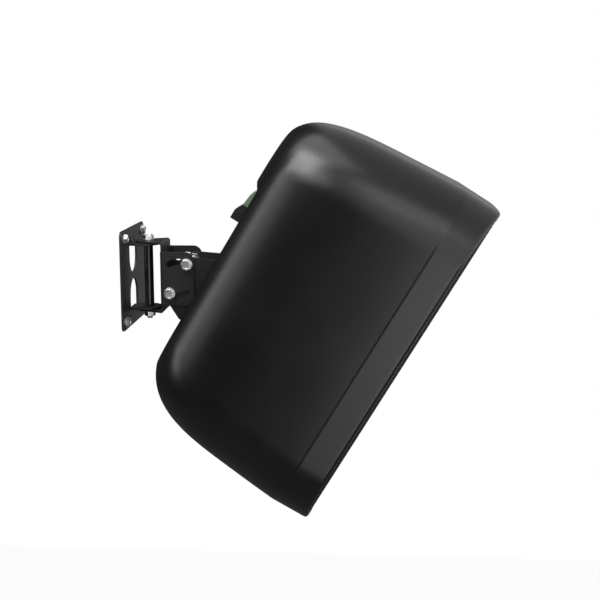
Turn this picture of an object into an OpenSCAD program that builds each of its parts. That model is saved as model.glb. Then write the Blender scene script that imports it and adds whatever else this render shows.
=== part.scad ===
// Wall speaker on a steel pan and tilt bracket.
// Millimetres. The origin is the middle of the wall plate's back face, +Y goes into the wall,
// -Y out into the room and +Z up. The speaker hangs nose down, with its tilt bolts on their stop.

/* [Wall plate] */
// Width of the wall plate
plate_w = 108; // [100:1:130]
// Height of the wall plate
plate_h = 100; // [94:1:120]
// Corner radius of the wall plate
plate_corner_r = 6; // [3:0.5:8]
// Thickness of the bracket's steel sheet
sheet_t = 2; // [1.5:0.1:2.5]
// Distance between the wall screws, across and up
screw_pitch = 84; // [78:1:88]
// Diameter of the wall screws
screw_d = 5; // [4:0.5:6]
// Length of a wall screw behind the plate
screw_reach = 2; // [2:1:60]
// Width of each ear that is cut out of the plate and bent forward
ear_w = 34; // [30:1:38]
// Clear height between the two ears
ear_gap = 64; // [60:1:70]
// How far the ears' round tips stand off the wall
ear_reach = 31; // [30:0.5:34]
// Height of the strip that is left between the two windows
window_bridge = 6; // [4:0.5:10]

/* [Pan bolt] */
// Distance of the pan bolt from the wall
pan_y = 18; // [17:0.5:20]
// Diameter of the pan bolt
pan_bolt_d = 6; // [5:0.5:8]
// Outer diameter of the sleeve round the pan bolt
sleeve_d = 9.5; // [9:0.5:14]

/* [Swivel bracket] */
// Distance of the swivel bracket's web from the wall
web_y = 34.6; // [34:0.2:40]
// Width across the two side flanges
swivel_w = 55; // [50:1:64]
// Height of the side flanges
swivel_h = 54.6; // [52:0.2:60]
// Depth of the side flanges, web included
swivel_depth = 34.5; // [33:0.5:38]
// Width of the risers above and below the flanges
riser_w = 44.6; // [40:0.2:46]
// Radius of the flanges' front corners
flange_corner_r = 9; // [4:0.5:10]
// Radius of the tabs' round ends
tab_end_r = 12.5; // [11:0.5:14]

/* [Tilt] */
// Distance of the tilt centre from the wall
tilt_y = 53; // [52:0.2:55]
// Radius of the slots' arc about the tilt centre
slot_r = 17.3; // [16:0.1:18]
// Tilt below level at which the speaker rests on its stop
tilt_down = 31.2; // [20:0.2:32]
// Tilt above level that the slots allow
tilt_up = 31.2; // [20:0.2:32]
// Diameter of the tilt bolts
tilt_bolt_d = 6; // [5:0.5:6]

/* [Speaker yoke] */
// Distance from the tilt centre to the cabinet's flat back
seat_z = 25.3; // [25:0.1:28]
// Height of the yoke's web
yoke_h = 71; // [66:1:76]
// Flare of the yoke's flanges above and below
yoke_flare = 26.5; // [20:0.5:30]
// Distance between the yoke's screws across
yoke_screw_x = 26; // [22:1:30]
// Distance between the yoke's screws up
yoke_screw_y = 50; // [46:1:54]

/* [Cabinet] */
// Width at the parting line
cab_w = 225; // [215:1:240]
// Height at the parting line
cab_h = 361; // [350:1:375]
// Depth from the flat back's crown to the front rim at the sides
cab_depth = 205.5; // [200:0.5:220]
// Depth of the front bezel band
bezel_depth = 30; // [26:1:34]
// How much narrower the cabinet is at the back
back_less_w = 34; // [16:1:40]
// How much lower the cabinet is at the back
back_less_h = 25; // [10:1:30]
// How much the bezel narrows towards its rim
rim_less = 2; // [1:0.5:8]
// Corner radius seen from the front
corner_r = 63; // [46:1:66]
// How far the back edge is rounded inwards
back_round_in = 69; // [50:1:74]
// How deep the back edge's rounding runs forward
back_round_deep = 120; // [90:1:130]
// How much further the back edge is rounded below than above
back_round_low = 37; // [20:1:40]
// Height of the cabinet's middle above the tilt centre
cab_rise = 45; // [40:1:50]
// Wall of the moulded cabinet
cab_wall = 3.5; // [2.8:0.1:4]
// Depth by which the flat back is set in below the hood
recess = 6.5; // [3:0.25:7]
// Height of the hood's lower edge above the tilt centre
hood_y = 130; // [124:1:136]

/* [Baffle and grille] */
// Depth of the baffle's face behind the rim
baffle_set = 15; // [13:0.5:18]
// Thickness of the baffle
baffle_t = 5; // [4:0.5:6]
// Bow of the rim and the grille across the width
front_bow = 15; // [10:0.5:18]
// Wall of the bezel
bezel_wall = 6; // [5:0.5:8]
// Thickness of the grille's sheet
grille_t = 1.2; // [1:0.1:1.5]
// Depth of the grille's turned edge
grille_edge = 9; // [6:0.5:10]

/* [Drivers] */
// Outer diameter of the woofer's frame
woofer_d = 166; // [160:1:168]
// Height of the woofer's axis under the cabinet's middle
woofer_drop = 62; // [60:1:64]
// Diameter of the woofer's voice coil
coil_d = 26; // [24:1:30]
// Outer diameter of the woofer's magnet
magnet_d = 80; // [74:1:90]
// Outer diameter of the tweeter's waveguide
tweeter_d = 104; // [100:1:106]
// Height of the tweeter's axis above the cabinet's middle
tweeter_rise = 88; // [86:1:92]
// Diameter of the tweeter's dome
dome_d = 26; // [24:1:28]
// Inner diameter of each port tube
port_d = 26; // [20:1:28]
// Distance of each port from the middle
port_x = 78; // [76:1:80]

/* [Terminal] */
// Number of poles of the pluggable terminal
poles = 4; // [2:1:6]
// Distance between poles
pole_pitch = 5; // [3.8:0.1:5.1]
// Height of the header's lower face above the tilt centre
plug_top_y = 96.5; // [92:0.5:100]
// Travel of the plug until it is free of its pins
plug_travel = 12; // [10:1:14]

/* [Hidden] */
$fn = 48;
// Clearances
fit = 0.1;
play = 0.3;
eps = 0.01;
// Bend radii of the folded sheet
bend_in = 1;
bend_out = bend_in + sheet_t;
// Fasteners
washer_t = 1.6;
small_washer_t = 1;
head_ratio = 1.667;
pan_head_h = 4;
pan_nut_h = 5;
wall_head_h = 3.5;
thread_past_nut = 2.4;
// Heights of the ears, tabs and pan fasteners
ear_top = ear_gap / 2 + sheet_t;
tab_low = ear_top + fit;
tab_top = tab_low + sheet_t;
window_top = ear_top + bend_in;
ear_r = ear_w / 2;
pan_washer_top = tab_top + washer_t;
// Tilt joint
slot_w = tilt_bolt_d + 2 * play;
yoke_w = swivel_w - 2 * sheet_t - 4 * fit;
yoke_end_r = tilt_bolt_d / 2 + 4;
tilt_washer_t = 1.2;
tilt_head_h = 4;
tilt_nut_h = 5;
// The wall screws are waisted under the head, as rolled threads are
screw_waist_r = screw_d / 2 - 3 * fit;
// Cabinet stations, measured forward from the tilt centre
crown_z = seat_z - recess;
rim_z = crown_z + cab_depth;
part_z = rim_z - bezel_depth;
baffle_z = rim_z - baffle_set;
baffle_back_z = baffle_z - baffle_t;
round_power = 0.59;
round_steps = 9;
corner_steps = 9;
lip_depth = 6;
lip_t = 2;
// The lip clears the flared wall at its lower end
lip_off = cab_wall + play + back_less_w / 2 * lip_depth / (part_z - crown_z);
boss_top_z = part_z - lip_depth - play;
boss_len = 30;
baffle_screw_r = 1.5;
screw_low_z = part_z - 14;
// Radius of the bowed front
bow_half = cab_w / 2 - rim_less / 2;
bow_r = (bow_half * bow_half + front_bow * front_bow) / (2 * front_bow);
bow_axis_z = rim_z + front_bow - bow_r;
grille_back_z = rim_z - grille_edge;
// Woofer, measured on its axis
woofer_y = cab_rise - woofer_drop;
woofer_r = woofer_d / 2;
woofer_hole_r = woofer_r - 12;
frame_t = 3;
frame_z = baffle_z + frame_t;
surround_r = woofer_r - 18;
roll_r = 7;
cone_r = surround_r - roll_r;
cone_top_z = frame_z + 1;
cone_low_z = frame_z - 26;
cone_t = 0.9;
cone_neck_r = coil_d / 2 + 0.6;
motor_z = baffle_z - 45;
top_plate_t = 6;
magnet_t = 15;
back_plate_t = 6;
coil_gap = 0.8;
spider_z = motor_z + 9;
spider_r = 34;
woofer_screw_count = 6;
woofer_screw_r = 1.8;
woofer_head_r = 3.6;
woofer_screw_inset = 5.5;
surround_rim_r = woofer_r - woofer_screw_inset - woofer_head_r - play;
// Tweeter
tweeter_y = cab_rise + tweeter_rise;
tweeter_r = tweeter_d / 2;
guide_depth = 13;
tweeter_screw_r = 1.3;
// Ports
port_len = 90;
port_wall = 2;
// Terminal
header_w = poles * pole_pitch + 3;
plug_w = poles * pole_pitch + 1;
header_top_y = plug_top_y + 19;
header_out = 8.7;
header_top_out = 3.5;
plug_out = 13;
plug_slope = 8.4;
plug_len = 18;
plug_low_y = plug_top_y - plug_len;
well_z = seat_z + 6;
nose_out_z = seat_z - 2.1;
nose_in_z = well_z - 1.8;
nose_len = 9;
pin_r = 0.5;
well_low_y = plug_low_y - plug_travel - 2;
well_wall = 2.5;
board_z = well_z + well_wall + 1.5;
board_t = 1.6;
board_w = 84;
board_low_y = 52;
board_top_y = 118;
board_boss_r = 3.5;
board_hole_inset = 5;
insert_len = 10;
insert_r = 3.5;
yoke_bolt_r = 2.5;

// Points of a rounded rectangle, counter-clockwise
function round_rect(w, h, r) = [
    for (c = [[1, 1, 0], [-1, 1, 90], [-1, -1, 180], [1, -1, 270]])
        for (k = [0 : corner_steps])
            let (a = c[2] + 90 * k / corner_steps)
            [c[0] * (w / 2 - r) + r * cos(a), c[1] * (h / 2 - r) + r * sin(a)]
];

// How far along the flare from the back to the parting line a station lies
function flare_at(z) = (z - crown_z) / (part_z - crown_z);

// One ring of the rear cabinet at rounding angle a, moved inwards by wall
function rear_ring(a, wall) =
    let (z0 = crown_z + back_round_deep * (1 - pow(cos(a), round_power)))
    let (turn_in = back_round_in * (1 - pow(sin(a), round_power)))
    let (f = flare_at(z0))
    let (w = cab_w - back_less_w * (1 - f) - 2 * turn_in - 2 * wall * sin(a))
    let (h = cab_h - back_less_h * (1 - f) - 2 * turn_in - 2 * wall * sin(a))
    let (r = min(corner_r - 0.4 * turn_in - wall * sin(a), w / 2 - 1))
    [for (p = round_rect(w, h, r))
        [p[0], p[1] + cab_rise + back_round_low / 2 * turn_in / back_round_in, z0 + wall * cos(a)]];

// One ring of the bezel at station z, moved inwards by wall
function bezel_ring(z, wall) =
    let (less = rim_less * (z - part_z) / bezel_depth + 2 * wall)
    [for (p = round_rect(cab_w - less, cab_h - less, corner_r - less / 2))
        [p[0], p[1] + cab_rise, z]];

// Closed skin through a list of rings, from the back to the front
module loft(rings) {
    n = len(rings[0]);
    m = len(rings);
    points = [for (ring = rings) for (p = ring) p];
    back = [[for (i = [0 : n - 1]) i]];
    front = [[for (i = [n - 1 : -1 : 0]) (m - 1) * n + i]];
    sides = [
        for (j = [0 : m - 2])
            for (i = [0 : n - 1])
                let (k = (i + 1) % n)
                each [
                    [j * n + i, (j + 1) * n + i, (j + 1) * n + k],
                    [j * n + i, (j + 1) * n + k, j * n + k]
                ]
    ];
    polyhedron(points, concat(back, front, sides), convexity = 6);
}

// Rear cabinet's form, moved inwards by wall and ended at station end_z
module rear_form(wall, end_z) {
    curved = [for (k = [0 : round_steps]) rear_ring(90 * k / round_steps, wall)];
    last = [for (p = bezel_ring(part_z, wall)) [p[0], p[1], end_z]];
    loft(concat(curved, [last]));
}

// Bezel's form between two stations, moved inwards by wall
module bezel_form(z_from, z_to, wall) {
    loft([bezel_ring(z_from, wall), bezel_ring(z_to, wall)]);
}

// Solid inside the bowed front, moved back by off
module bow_space(off) {
    translate([0, cab_rise, bow_axis_z])
        rotate([90, 0, 0])
            cylinder(r = bow_r - off, h = cab_h + 40, center = true, $fn = 180);
}

// Frame of the speaker: x across, y up along the tilt bolts, z forward
module at_speaker() {
    translate([0, -tilt_y, 0])
        rotate([90 + tilt_down, 0, 0])
            children();
}

// Both sides of the middle plane
module both_sides() {
    for (side = [0, 1])
        mirror([side, 0, 0])
            children();
}

// Above and below the level plane
module top_and_bottom() {
    for (side = [0, 1])
        mirror([0, 0, side])
            children();
}

// Rectangle with round corners
module rounded(w, h, r) {
    square([w - 2 * r, h], center = true);
    square([w, h - 2 * r], center = true);
    for (x = [-1, 1])
        for (y = [-1, 1])
            translate([x * (w / 2 - r), y * (h / 2 - r)])
                circle(r);
}

// Flat ring on the z plane
module ring(outer_r, inner_r, h) {
    difference() {
        cylinder(r = outer_r, h = h);
        translate([0, 0, -eps])
            cylinder(r = inner_r, h = h + 2 * eps);
    }
}

// Hexagonal bolt head or nut blank
module hex(across_flats, h) {
    cylinder(d = across_flats / cos(30), h = h, $fn = 6);
}

// Quarter of a bent sheet, seen along x, with its centre on the axis
module bend_quarter(w) {
    rotate([0, 90, 0])
        rotate_extrude(angle = 90)
            translate([bend_in, -w / 2])
                square([sheet_t, w]);
}

// Wall plate with two ears that are cut out and bent forward
module ear() {
    difference() {
        union() {
            translate([0, -sheet_t - bend_in, window_top])
                bend_quarter(ear_w);
            translate([-ear_r, -ear_reach + ear_r, ear_top - sheet_t])
                cube([ear_w, ear_reach - ear_r - sheet_t - bend_in, sheet_t]);
            translate([0, -ear_reach + ear_r, ear_top - sheet_t])
                cylinder(r = ear_r, h = sheet_t, $fn = 96);
        }
        translate([0, -pan_y, ear_top - sheet_t - 1])
            cylinder(d = pan_bolt_d + 2 * fit, h = sheet_t + 2);
        translate([-ear_w, -sheet_t - bend_in + bend_out, 0])
            cube([2 * ear_w, ear_w, plate_h]);
    }
}

module window() {
    low = window_bridge / 2 + ear_r;
    translate([-ear_r, -sheet_t - 1, low])
        cube([ear_w, sheet_t + 2, window_top - low]);
    translate([0, 1, low])
        rotate([90, 0, 0])
            cylinder(r = ear_r, h = sheet_t + 2, $fn = 96);
}

module screw_places() {
    for (x = [-1, 1])
        for (z = [-1, 1])
            translate([x * screw_pitch / 2, 0, z * screw_pitch / 2])
                rotate([90, 0, 0])
                    children();
}

module wall_plate() {
    color([0.09, 0.09, 0.095])
        union() {
            difference() {
                rotate([90, 0, 0])
                    linear_extrude(sheet_t)
                        rounded(plate_w, plate_h, plate_corner_r);
                top_and_bottom()
                    window();
                screw_places()
                    translate([0, 0, -1])
                        cylinder(d = screw_d + 2 * fit, h = sheet_t + 2);
            }
            top_and_bottom()
                ear();
        }
}

module wall_screws() {
    color([0.72, 0.72, 0.7])
        screw_places() {
            translate([0, 0, sheet_t + small_washer_t])
                hex(screw_d * 1.6, wall_head_h);
            translate([0, 0, -screw_reach])
                cylinder(d = screw_d, h = screw_reach);
            translate([0, 0, -eps])
                cylinder(r = screw_waist_r, h = sheet_t + small_washer_t + 2 * eps);
        }
}

module wall_washers() {
    color([0.75, 0.75, 0.73])
        screw_places()
            translate([0, 0, sheet_t])
                ring(screw_d * 1.05, screw_d / 2 + fit, small_washer_t);
}

// Pan bolt, from its head on the upper tab to its end under the nut
module pan_bolt() {
    low = -pan_washer_top - pan_nut_h - thread_past_nut;
    color([0.72, 0.72, 0.7])
        translate([0, -pan_y, 0]) {
            translate([0, 0, pan_washer_top])
                hex(pan_bolt_d * head_ratio, pan_head_h);
            translate([0, 0, low])
                cylinder(d = pan_bolt_d, h = pan_washer_top - low + eps);
        }
}

module pan_nut() {
    color([0.72, 0.72, 0.7])
        translate([0, -pan_y, -pan_washer_top - pan_nut_h])
            difference() {
                hex(pan_bolt_d * head_ratio, pan_nut_h);
                translate([0, 0, -1])
                    cylinder(d = pan_bolt_d + fit, h = pan_nut_h + 2);
            }
}

module pan_washers() {
    color([0.75, 0.75, 0.73])
        for (z = [tab_top, -pan_washer_top])
            translate([0, -pan_y, z])
                ring(pan_bolt_d, pan_bolt_d / 2 + fit, washer_t);
}

module pan_sleeve() {
    color([0.06, 0.06, 0.065])
        translate([0, -pan_y, -ear_gap / 2])
            ring(sleeve_d / 2, pan_bolt_d / 2 + fit, ear_gap);
}

// Side profile of a channel's flanges, drawn on the y and z plane and extruded across x
module across(w) {
    rotate([90, 0, 90])
        translate([0, 0, -w / 2])
            linear_extrude(w)
                children();
}

// Channel that is open to the room, seen from above
module channel(w, depth) {
    difference() {
        union() {
            translate([-w / 2, -depth])
                square([w, depth - bend_out]);
            translate([-w / 2 + bend_out, -bend_out - 1])
                square([w - 2 * bend_out, bend_out + 1]);
            for (x = [-1, 1])
                translate([x * (w / 2 - bend_out), -bend_out])
                    circle(bend_out);
        }
        translate([-w / 2 + sheet_t, -depth - 1])
            square([w - 2 * sheet_t, depth + 1 - bend_out]);
        translate([-w / 2 + bend_out, -bend_out - 1])
            square([w - 2 * bend_out, bend_out + 1 - sheet_t]);
        for (x = [-1, 1])
            translate([x * (w / 2 - bend_out), -bend_out])
                circle(bend_in);
    }
}

// Flange outline: square at the web and round at the front corners
module flange_outline() {
    front = -web_y - swivel_depth;
    translate([front + flange_corner_r, -swivel_h / 2])
        square([swivel_depth - flange_corner_r, swivel_h]);
    translate([front, -swivel_h / 2 + flange_corner_r])
        square([swivel_depth, swivel_h - 2 * flange_corner_r]);
    for (z = [-1, 1])
        translate([front + flange_corner_r, z * (swivel_h / 2 - flange_corner_r)])
            circle(flange_corner_r);
}

// Arc slot about the tilt centre, above the level plane
module arc_slot() {
    translate([0, -tilt_y, 0])
        rotate([0, 90, 0])
            rotate([0, 0, 180 - tilt_up]) {
                rotate_extrude(angle = tilt_down + tilt_up, $fn = 96)
                    translate([slot_r - slot_w / 2, -swivel_w])
                        square([slot_w, 2 * swivel_w]);
                for (a = [0, tilt_down + tilt_up])
                    rotate([0, 0, a])
                        translate([slot_r, 0, -swivel_w])
                            cylinder(d = slot_w, h = 2 * swivel_w);
            }
}

// Where a line from a point touches a circle about the origin
function touch(p, r) =
    let (d = norm(p))
    let (a = atan2(p[1], p[0]) + acos(r / d))
    [r * cos(a), r * sin(a)];

// Tab outline seen from above, from the riser to the round end about the pan bolt
module tab_outline() {
    corner = [riser_w / 2, -web_y + pan_y];
    t = touch(corner, tab_end_r);
    translate([0, -pan_y]) {
        polygon([
            [-corner[0], corner[1]], corner, t, [-t[0], t[1]]
        ]);
        circle(tab_end_r);
    }
}

// Tab and riser above the flanges, bent from one strip
module riser_and_tab() {
    intersection() {
        translate([0, 0, tab_low])
            linear_extrude(sheet_t)
                tab_outline();
        translate([-swivel_w, -web_y + bend_in, 0])
            cube([2 * swivel_w, web_y, plate_h]);
    }
    translate([0, -web_y + bend_in, tab_low - bend_in])
        rotate([180, 0, 0])
            bend_quarter(riser_w);
    translate([-riser_w / 2, -web_y - sheet_t, swivel_h / 2 - 1])
        cube([riser_w, sheet_t, tab_low - bend_in - swivel_h / 2 + 1]);
}

module swivel_bracket() {
    color([0.09, 0.09, 0.095])
        difference() {
            union() {
                intersection() {
                    translate([0, -web_y, -swivel_h / 2])
                        linear_extrude(swivel_h)
                            channel(swivel_w, swivel_depth);
                    across(swivel_w + 2)
                        flange_outline();
                }
                top_and_bottom()
                    riser_and_tab();
            }
            translate([0, -pan_y, -tab_top - 1])
                cylinder(d = pan_bolt_d + 2 * fit, h = 2 * tab_top + 2);
            top_and_bottom()
                arc_slot();
        }
}

// Outline of the yoke's flanges, with z forward and y up
module yoke_outline() {
    up = yoke_h / 2;
    t = [yoke_end_r * -sin(yoke_flare), slot_r + yoke_end_r * cos(yoke_flare)];
    shoulder_z = t[0] + (up - t[1]) / tan(yoke_flare);
    for (y = [-1, 1])
        translate([0, y * slot_r])
            circle(yoke_end_r);
    translate([-yoke_end_r, -slot_r])
        square([yoke_end_r, 2 * slot_r]);
    polygon([
        [0, -slot_r], t - [0, 2 * t[1]], [shoulder_z, -up], [seat_z, -up],
        [seat_z, up], [shoulder_z, up], t, [0, slot_r]
    ]);
}

module speaker_yoke() {
    reach = seat_z + yoke_end_r;
    color([0.09, 0.09, 0.095])
        at_speaker()
            difference() {
                intersection() {
                    translate([0, -yoke_h / 2, seat_z])
                        rotate([-90, 0, 0])
                            linear_extrude(yoke_h)
                                mirror([0, 1])
                                    channel(yoke_w, reach);
                    rotate([0, -90, 0])
                        translate([0, 0, -yoke_w])
                            linear_extrude(2 * yoke_w)
                                yoke_outline();
                }
                for (y = [-1, 1])
                    translate([-yoke_w, y * slot_r, 0])
                        rotate([0, 90, 0])
                            cylinder(d = tilt_bolt_d + fit, h = 2 * yoke_w);
                yoke_screw_places()
                    translate([0, 0, -sheet_t - 1])
                        cylinder(r = yoke_bolt_r + fit, h = sheet_t + 2);
            }
}

// The tilt bolts' four places, each with z pointing out of the bracket's side
module tilt_places() {
    at_speaker()
        both_sides()
            for (y = [-1, 1])
                translate([0, y * slot_r, 0])
                    rotate([0, 90, 0])
                        children();
}

module tilt_bolts() {
    shank_from = yoke_w / 2 - sheet_t - tilt_nut_h - 2;
    head_from = swivel_w / 2 + tilt_washer_t;
    color([0.74, 0.74, 0.72])
        tilt_places() {
            translate([0, 0, head_from])
                rotate([0, 0, 12])
                    hex(tilt_bolt_d * head_ratio, tilt_head_h);
            translate([0, 0, shank_from])
                cylinder(d = tilt_bolt_d, h = head_from - shank_from + eps);
        }
}

module tilt_washers() {
    color([0.75, 0.75, 0.73])
        tilt_places()
            translate([0, 0, swivel_w / 2])
                ring(tilt_bolt_d, tilt_bolt_d / 2 + fit, tilt_washer_t);
}

module tilt_nuts() {
    color([0.72, 0.72, 0.7])
        tilt_places()
            translate([0, 0, yoke_w / 2 - sheet_t - tilt_nut_h])
                difference() {
                    hex(tilt_bolt_d * head_ratio, tilt_nut_h);
                    translate([0, 0, -1])
                        cylinder(d = tilt_bolt_d + fit, h = tilt_nut_h + 2);
                }
}

// Places of the yoke's screws, with z pointing into the cabinet from its flat back
module yoke_screw_places() {
    for (x = [-1, 1])
        for (y = [-1, 1])
            translate([x * yoke_screw_x / 2, y * yoke_screw_y / 2, seat_z])
                children();
}

module yoke_screws() {
    color([0.15, 0.15, 0.15])
        at_speaker()
            yoke_screw_places() {
                translate([0, 0, -sheet_t - 3])
                    cylinder(r = 4.5, h = 3);
                translate([0, 0, -sheet_t - eps])
                    cylinder(r = yoke_bolt_r, h = insert_len);
            }
}

module yoke_inserts() {
    color([0.72, 0.58, 0.3])
        at_speaker()
            yoke_screw_places()
                ring(insert_r, yoke_bolt_r + fit / 2, insert_len);
}

// Space behind the flat back, up to the hood's sloped lower edge
module back_cut() {
    low = -cab_h;
    rotate([0, -90, 0])
        translate([0, 0, -cab_w])
            linear_extrude(2 * cab_w)
                polygon([
                    [seat_z - cab_h, low], [seat_z, low], [seat_z, hood_y - recess],
                    [seat_z - 2 * recess, hood_y + recess], [seat_z - cab_h, hood_y + recess]
                ]);
}

// Material behind the flat back: one wall thick, with the well for the terminal
module back_inside() {
    intersection() {
        translate([-cab_w / 2, -cab_h, seat_z])
            cube([cab_w, cab_h + hood_y - recess + cab_wall, cab_wall]);
        rear_form(cab_wall / 2, part_z);
    }
}

module well(grow) {
    w = header_w + 1 + 2 * grow;
    translate([-w / 2, well_low_y - grow, seat_z - 1])
        cube([w, header_top_y - well_low_y + 2 * grow, well_z - seat_z + 1 + grow]);
}

module board_posts() {
    for (x = [-1, 1])
        for (y = [board_low_y + board_hole_inset, board_top_y - board_hole_inset])
            translate([x * (board_w / 2 - board_hole_inset), y, seat_z])
                children();
}

// Where the baffle's screws go in round the edge, in the cabinet's frame
module baffle_screw_places() {
    inset = bezel_wall + 9;
    for (x = [-1, 1])
        for (y = [-1, 0, 1])
            translate([
                x * (cab_w / 2 - inset),
                cab_rise + y * (cab_h / 2 - inset - 30) + (y == 0 ? 28 : 0), 0
            ])
                children();
}

module rear_cabinet() {
    color([0.05, 0.05, 0.055])
        at_speaker()
            difference() {
                union() {
                    difference() {
                        rear_form(0, part_z);
                        rear_form(cab_wall, part_z + 1);
                    }
                    back_inside();
                    well(well_wall);
                    yoke_screw_places()
                        cylinder(r = insert_r + 3, h = insert_len + 2);
                    board_posts()
                        cylinder(r = board_boss_r, h = board_z - seat_z);
                    intersection() {
                        baffle_screw_places()
                            translate([-15, -5, boss_top_z - boss_len])
                                cube([30, 10, boss_len]);
                        rear_form(cab_wall / 2, part_z);
                    }
                    baffle_screw_places()
                        translate([0, 0, boss_top_z - boss_len / 2])
                            cylinder(r = 4.5, h = baffle_back_z - fit - boss_top_z + boss_len / 2);
                }
                back_cut();
                well(0);
                yoke_screw_places()
                    translate([0, 0, -1])
                        cylinder(r = insert_r, h = insert_len + 1);
                board_posts()
                    translate([0, 0, cab_wall])
                        cylinder(r = 1, h = board_z);
                for (i = [0 : poles - 1])
                    translate([(i - (poles - 1) / 2) * pole_pitch, header_top_y - 5, well_z - 1])
                        cylinder(r = pin_r + fit, h = well_wall + 2);
                baffle_screw_places()
                    translate([0, 0, screw_low_z - 1])
                        cylinder(r = baffle_screw_r + fit, h = baffle_z - screw_low_z + 1);
            }
}

// Baffle and bezel in one moulding, with a lip that enters the rear cabinet
module front_baffle() {
    color([0.05, 0.05, 0.055])
        at_speaker()
            difference() {
                union() {
                    intersection() {
                        bezel_form(part_z, rim_z + front_bow + 5, 0);
                        bow_space(0);
                    }
                    translate([0, 0, -lip_depth])
                        loft([bezel_ring(part_z, lip_off), bezel_ring(part_z + lip_depth + 1, lip_off)]);
                }
                bezel_form(baffle_z, rim_z + front_bow + 10, bezel_wall);
                translate([0, 0, -lip_depth - 1])
                    loft([
                        bezel_ring(part_z, lip_off + lip_t),
                        bezel_ring(baffle_back_z + lip_depth + 1, lip_off + lip_t)
                    ]);
                translate([0, woofer_y, baffle_back_z - 1])
                    cylinder(r = woofer_hole_r, h = baffle_t + 2, $fn = 96);
                translate([0, tweeter_y, baffle_back_z - 1])
                    cylinder(r = tweeter_r - 6, h = baffle_t + 2, $fn = 72);
                for (x = [-1, 1])
                    translate([x * port_x, tweeter_y, baffle_back_z - 1])
                        cylinder(d = port_d + 2 * port_wall + 2 * fit, h = baffle_t + 2);
                baffle_screw_places()
                    translate([0, 0, baffle_back_z - 1])
                        cylinder(r = baffle_screw_r + 6 * fit, h = baffle_t + 2);
                woofer_screw_places()
                    translate([0, 0, baffle_back_z - 1])
                        cylinder(r = woofer_screw_r + fit / 2, h = baffle_t + 2);
                tweeter_screw_places()
                    translate([0, 0, baffle_back_z - 1])
                        cylinder(r = tweeter_screw_r + fit / 2, h = baffle_t + 2);
            }
}

module baffle_screws() {
    color([0.12, 0.12, 0.12])
        at_speaker()
            baffle_screw_places()
                translate([0, 0, baffle_z]) {
                    cylinder(r = 3.8, h = 2.4);
                    translate([0, 0, screw_low_z - baffle_z])
                        cylinder(r = baffle_screw_r, h = baffle_z - screw_low_z + eps);
                }
}

// Bowed grille with its edge turned back into the bezel
module grille_space(grow, off) {
    intersection() {
        bezel_form(baffle_z - 20, rim_z + front_bow + 5, bezel_wall + fit + grow);
        bow_space(off);
    }
}

module grille() {
    color([0.04, 0.04, 0.042])
        at_speaker()
            difference() {
                grille_space(0, 0.4);
                grille_space(grille_t, 0.4 + grille_t);
                translate([-cab_w, -cab_h, -rim_z])
                    cube([2 * cab_w, 3 * cab_h, rim_z + grille_back_z]);
            }
}

module grille_liner() {
    off = 0.4 + grille_t;
    grow = grille_t + fit;
    color([0.03, 0.03, 0.03])
        at_speaker()
            difference() {
                grille_space(grow, off);
                grille_space(grow - 2, off + 0.8);
                translate([-cab_w, -cab_h, -rim_z])
                    cube([2 * cab_w, 3 * cab_h, rim_z + rim_z - 3]);
            }
}

// On the woofer's axis
module at_woofer() {
    at_speaker()
        translate([0, woofer_y, 0])
            children();
}

module woofer_screw_places() {
    for (i = [0 : woofer_screw_count - 1])
        translate([0, woofer_y, 0])
            rotate([0, 0, i * 360 / woofer_screw_count])
                translate([woofer_r - woofer_screw_inset, 0, 0])
                    children();
}

module tweeter_screw_places() {
    for (i = [0 : 3])
        translate([0, tweeter_y, 0])
            rotate([0, 0, 45 + i * 90])
                translate([tweeter_r - 3.5, 0, 0])
                    children();
}

module woofer_basket() {
    legs = woofer_screw_count;
    low_r = spider_r + 8;
    color([0.1, 0.1, 0.1])
        at_woofer()
            difference() {
                rotate_extrude($fn = 96)
                    polygon([
                        [surround_r - 2, frame_z], [woofer_r, frame_z], [woofer_r, baffle_z],
                        [woofer_hole_r - fit, baffle_z], [woofer_hole_r - 2, baffle_z - 8],
                        [low_r + 2, motor_z + 4], [low_r, motor_z], [coil_d / 2 + 6, motor_z],
                        [coil_d / 2 + 6, motor_z + 2], [low_r - 2, motor_z + 2],
                        [low_r - 2, spider_z - 1], [spider_r - 3, spider_z - 1], [spider_r - 3, spider_z],
                        [low_r + 1, spider_z],
                        [woofer_hole_r - 4, baffle_z - 8], [woofer_hole_r - 3, frame_z - 2],
                        [surround_r - 2, frame_z - 2]
                    ]);
                for (i = [0 : legs - 1])
                    rotate([0, 0, (i + 0.5) * 360 / legs])
                        translate([low_r - 12, -15, spider_z + 3])
                            cube([woofer_r, 30, baffle_z - 8 - spider_z - 3]);
                translate([0, -woofer_y, 0])
                    woofer_screw_places()
                        translate([0, 0, baffle_z - 1])
                            cylinder(r = woofer_screw_r + 2 * fit, h = frame_t + 2);
            }
}

module woofer_top_plate() {
    color([0.6, 0.6, 0.62])
        at_woofer()
            translate([0, 0, motor_z - top_plate_t])
                ring(magnet_d / 2 - 5, coil_d / 2 + coil_gap, top_plate_t);
}

module woofer_magnet() {
    color([0.16, 0.16, 0.17])
        at_woofer()
            translate([0, 0, motor_z - top_plate_t - magnet_t])
                ring(magnet_d / 2, coil_d / 2 + 4, magnet_t);
}

module woofer_pole_yoke() {
    low = motor_z - top_plate_t - magnet_t - back_plate_t;
    color([0.6, 0.6, 0.62])
        at_woofer()
            rotate_extrude($fn = 72)
                polygon([
                    [4, low], [magnet_d / 2 - 5, low], [magnet_d / 2 - 5, low + back_plate_t],
                    [coil_d / 2 - coil_gap, low + back_plate_t], [coil_d / 2 - coil_gap, motor_z],
                    [4, motor_z]
                ]);
}

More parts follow.
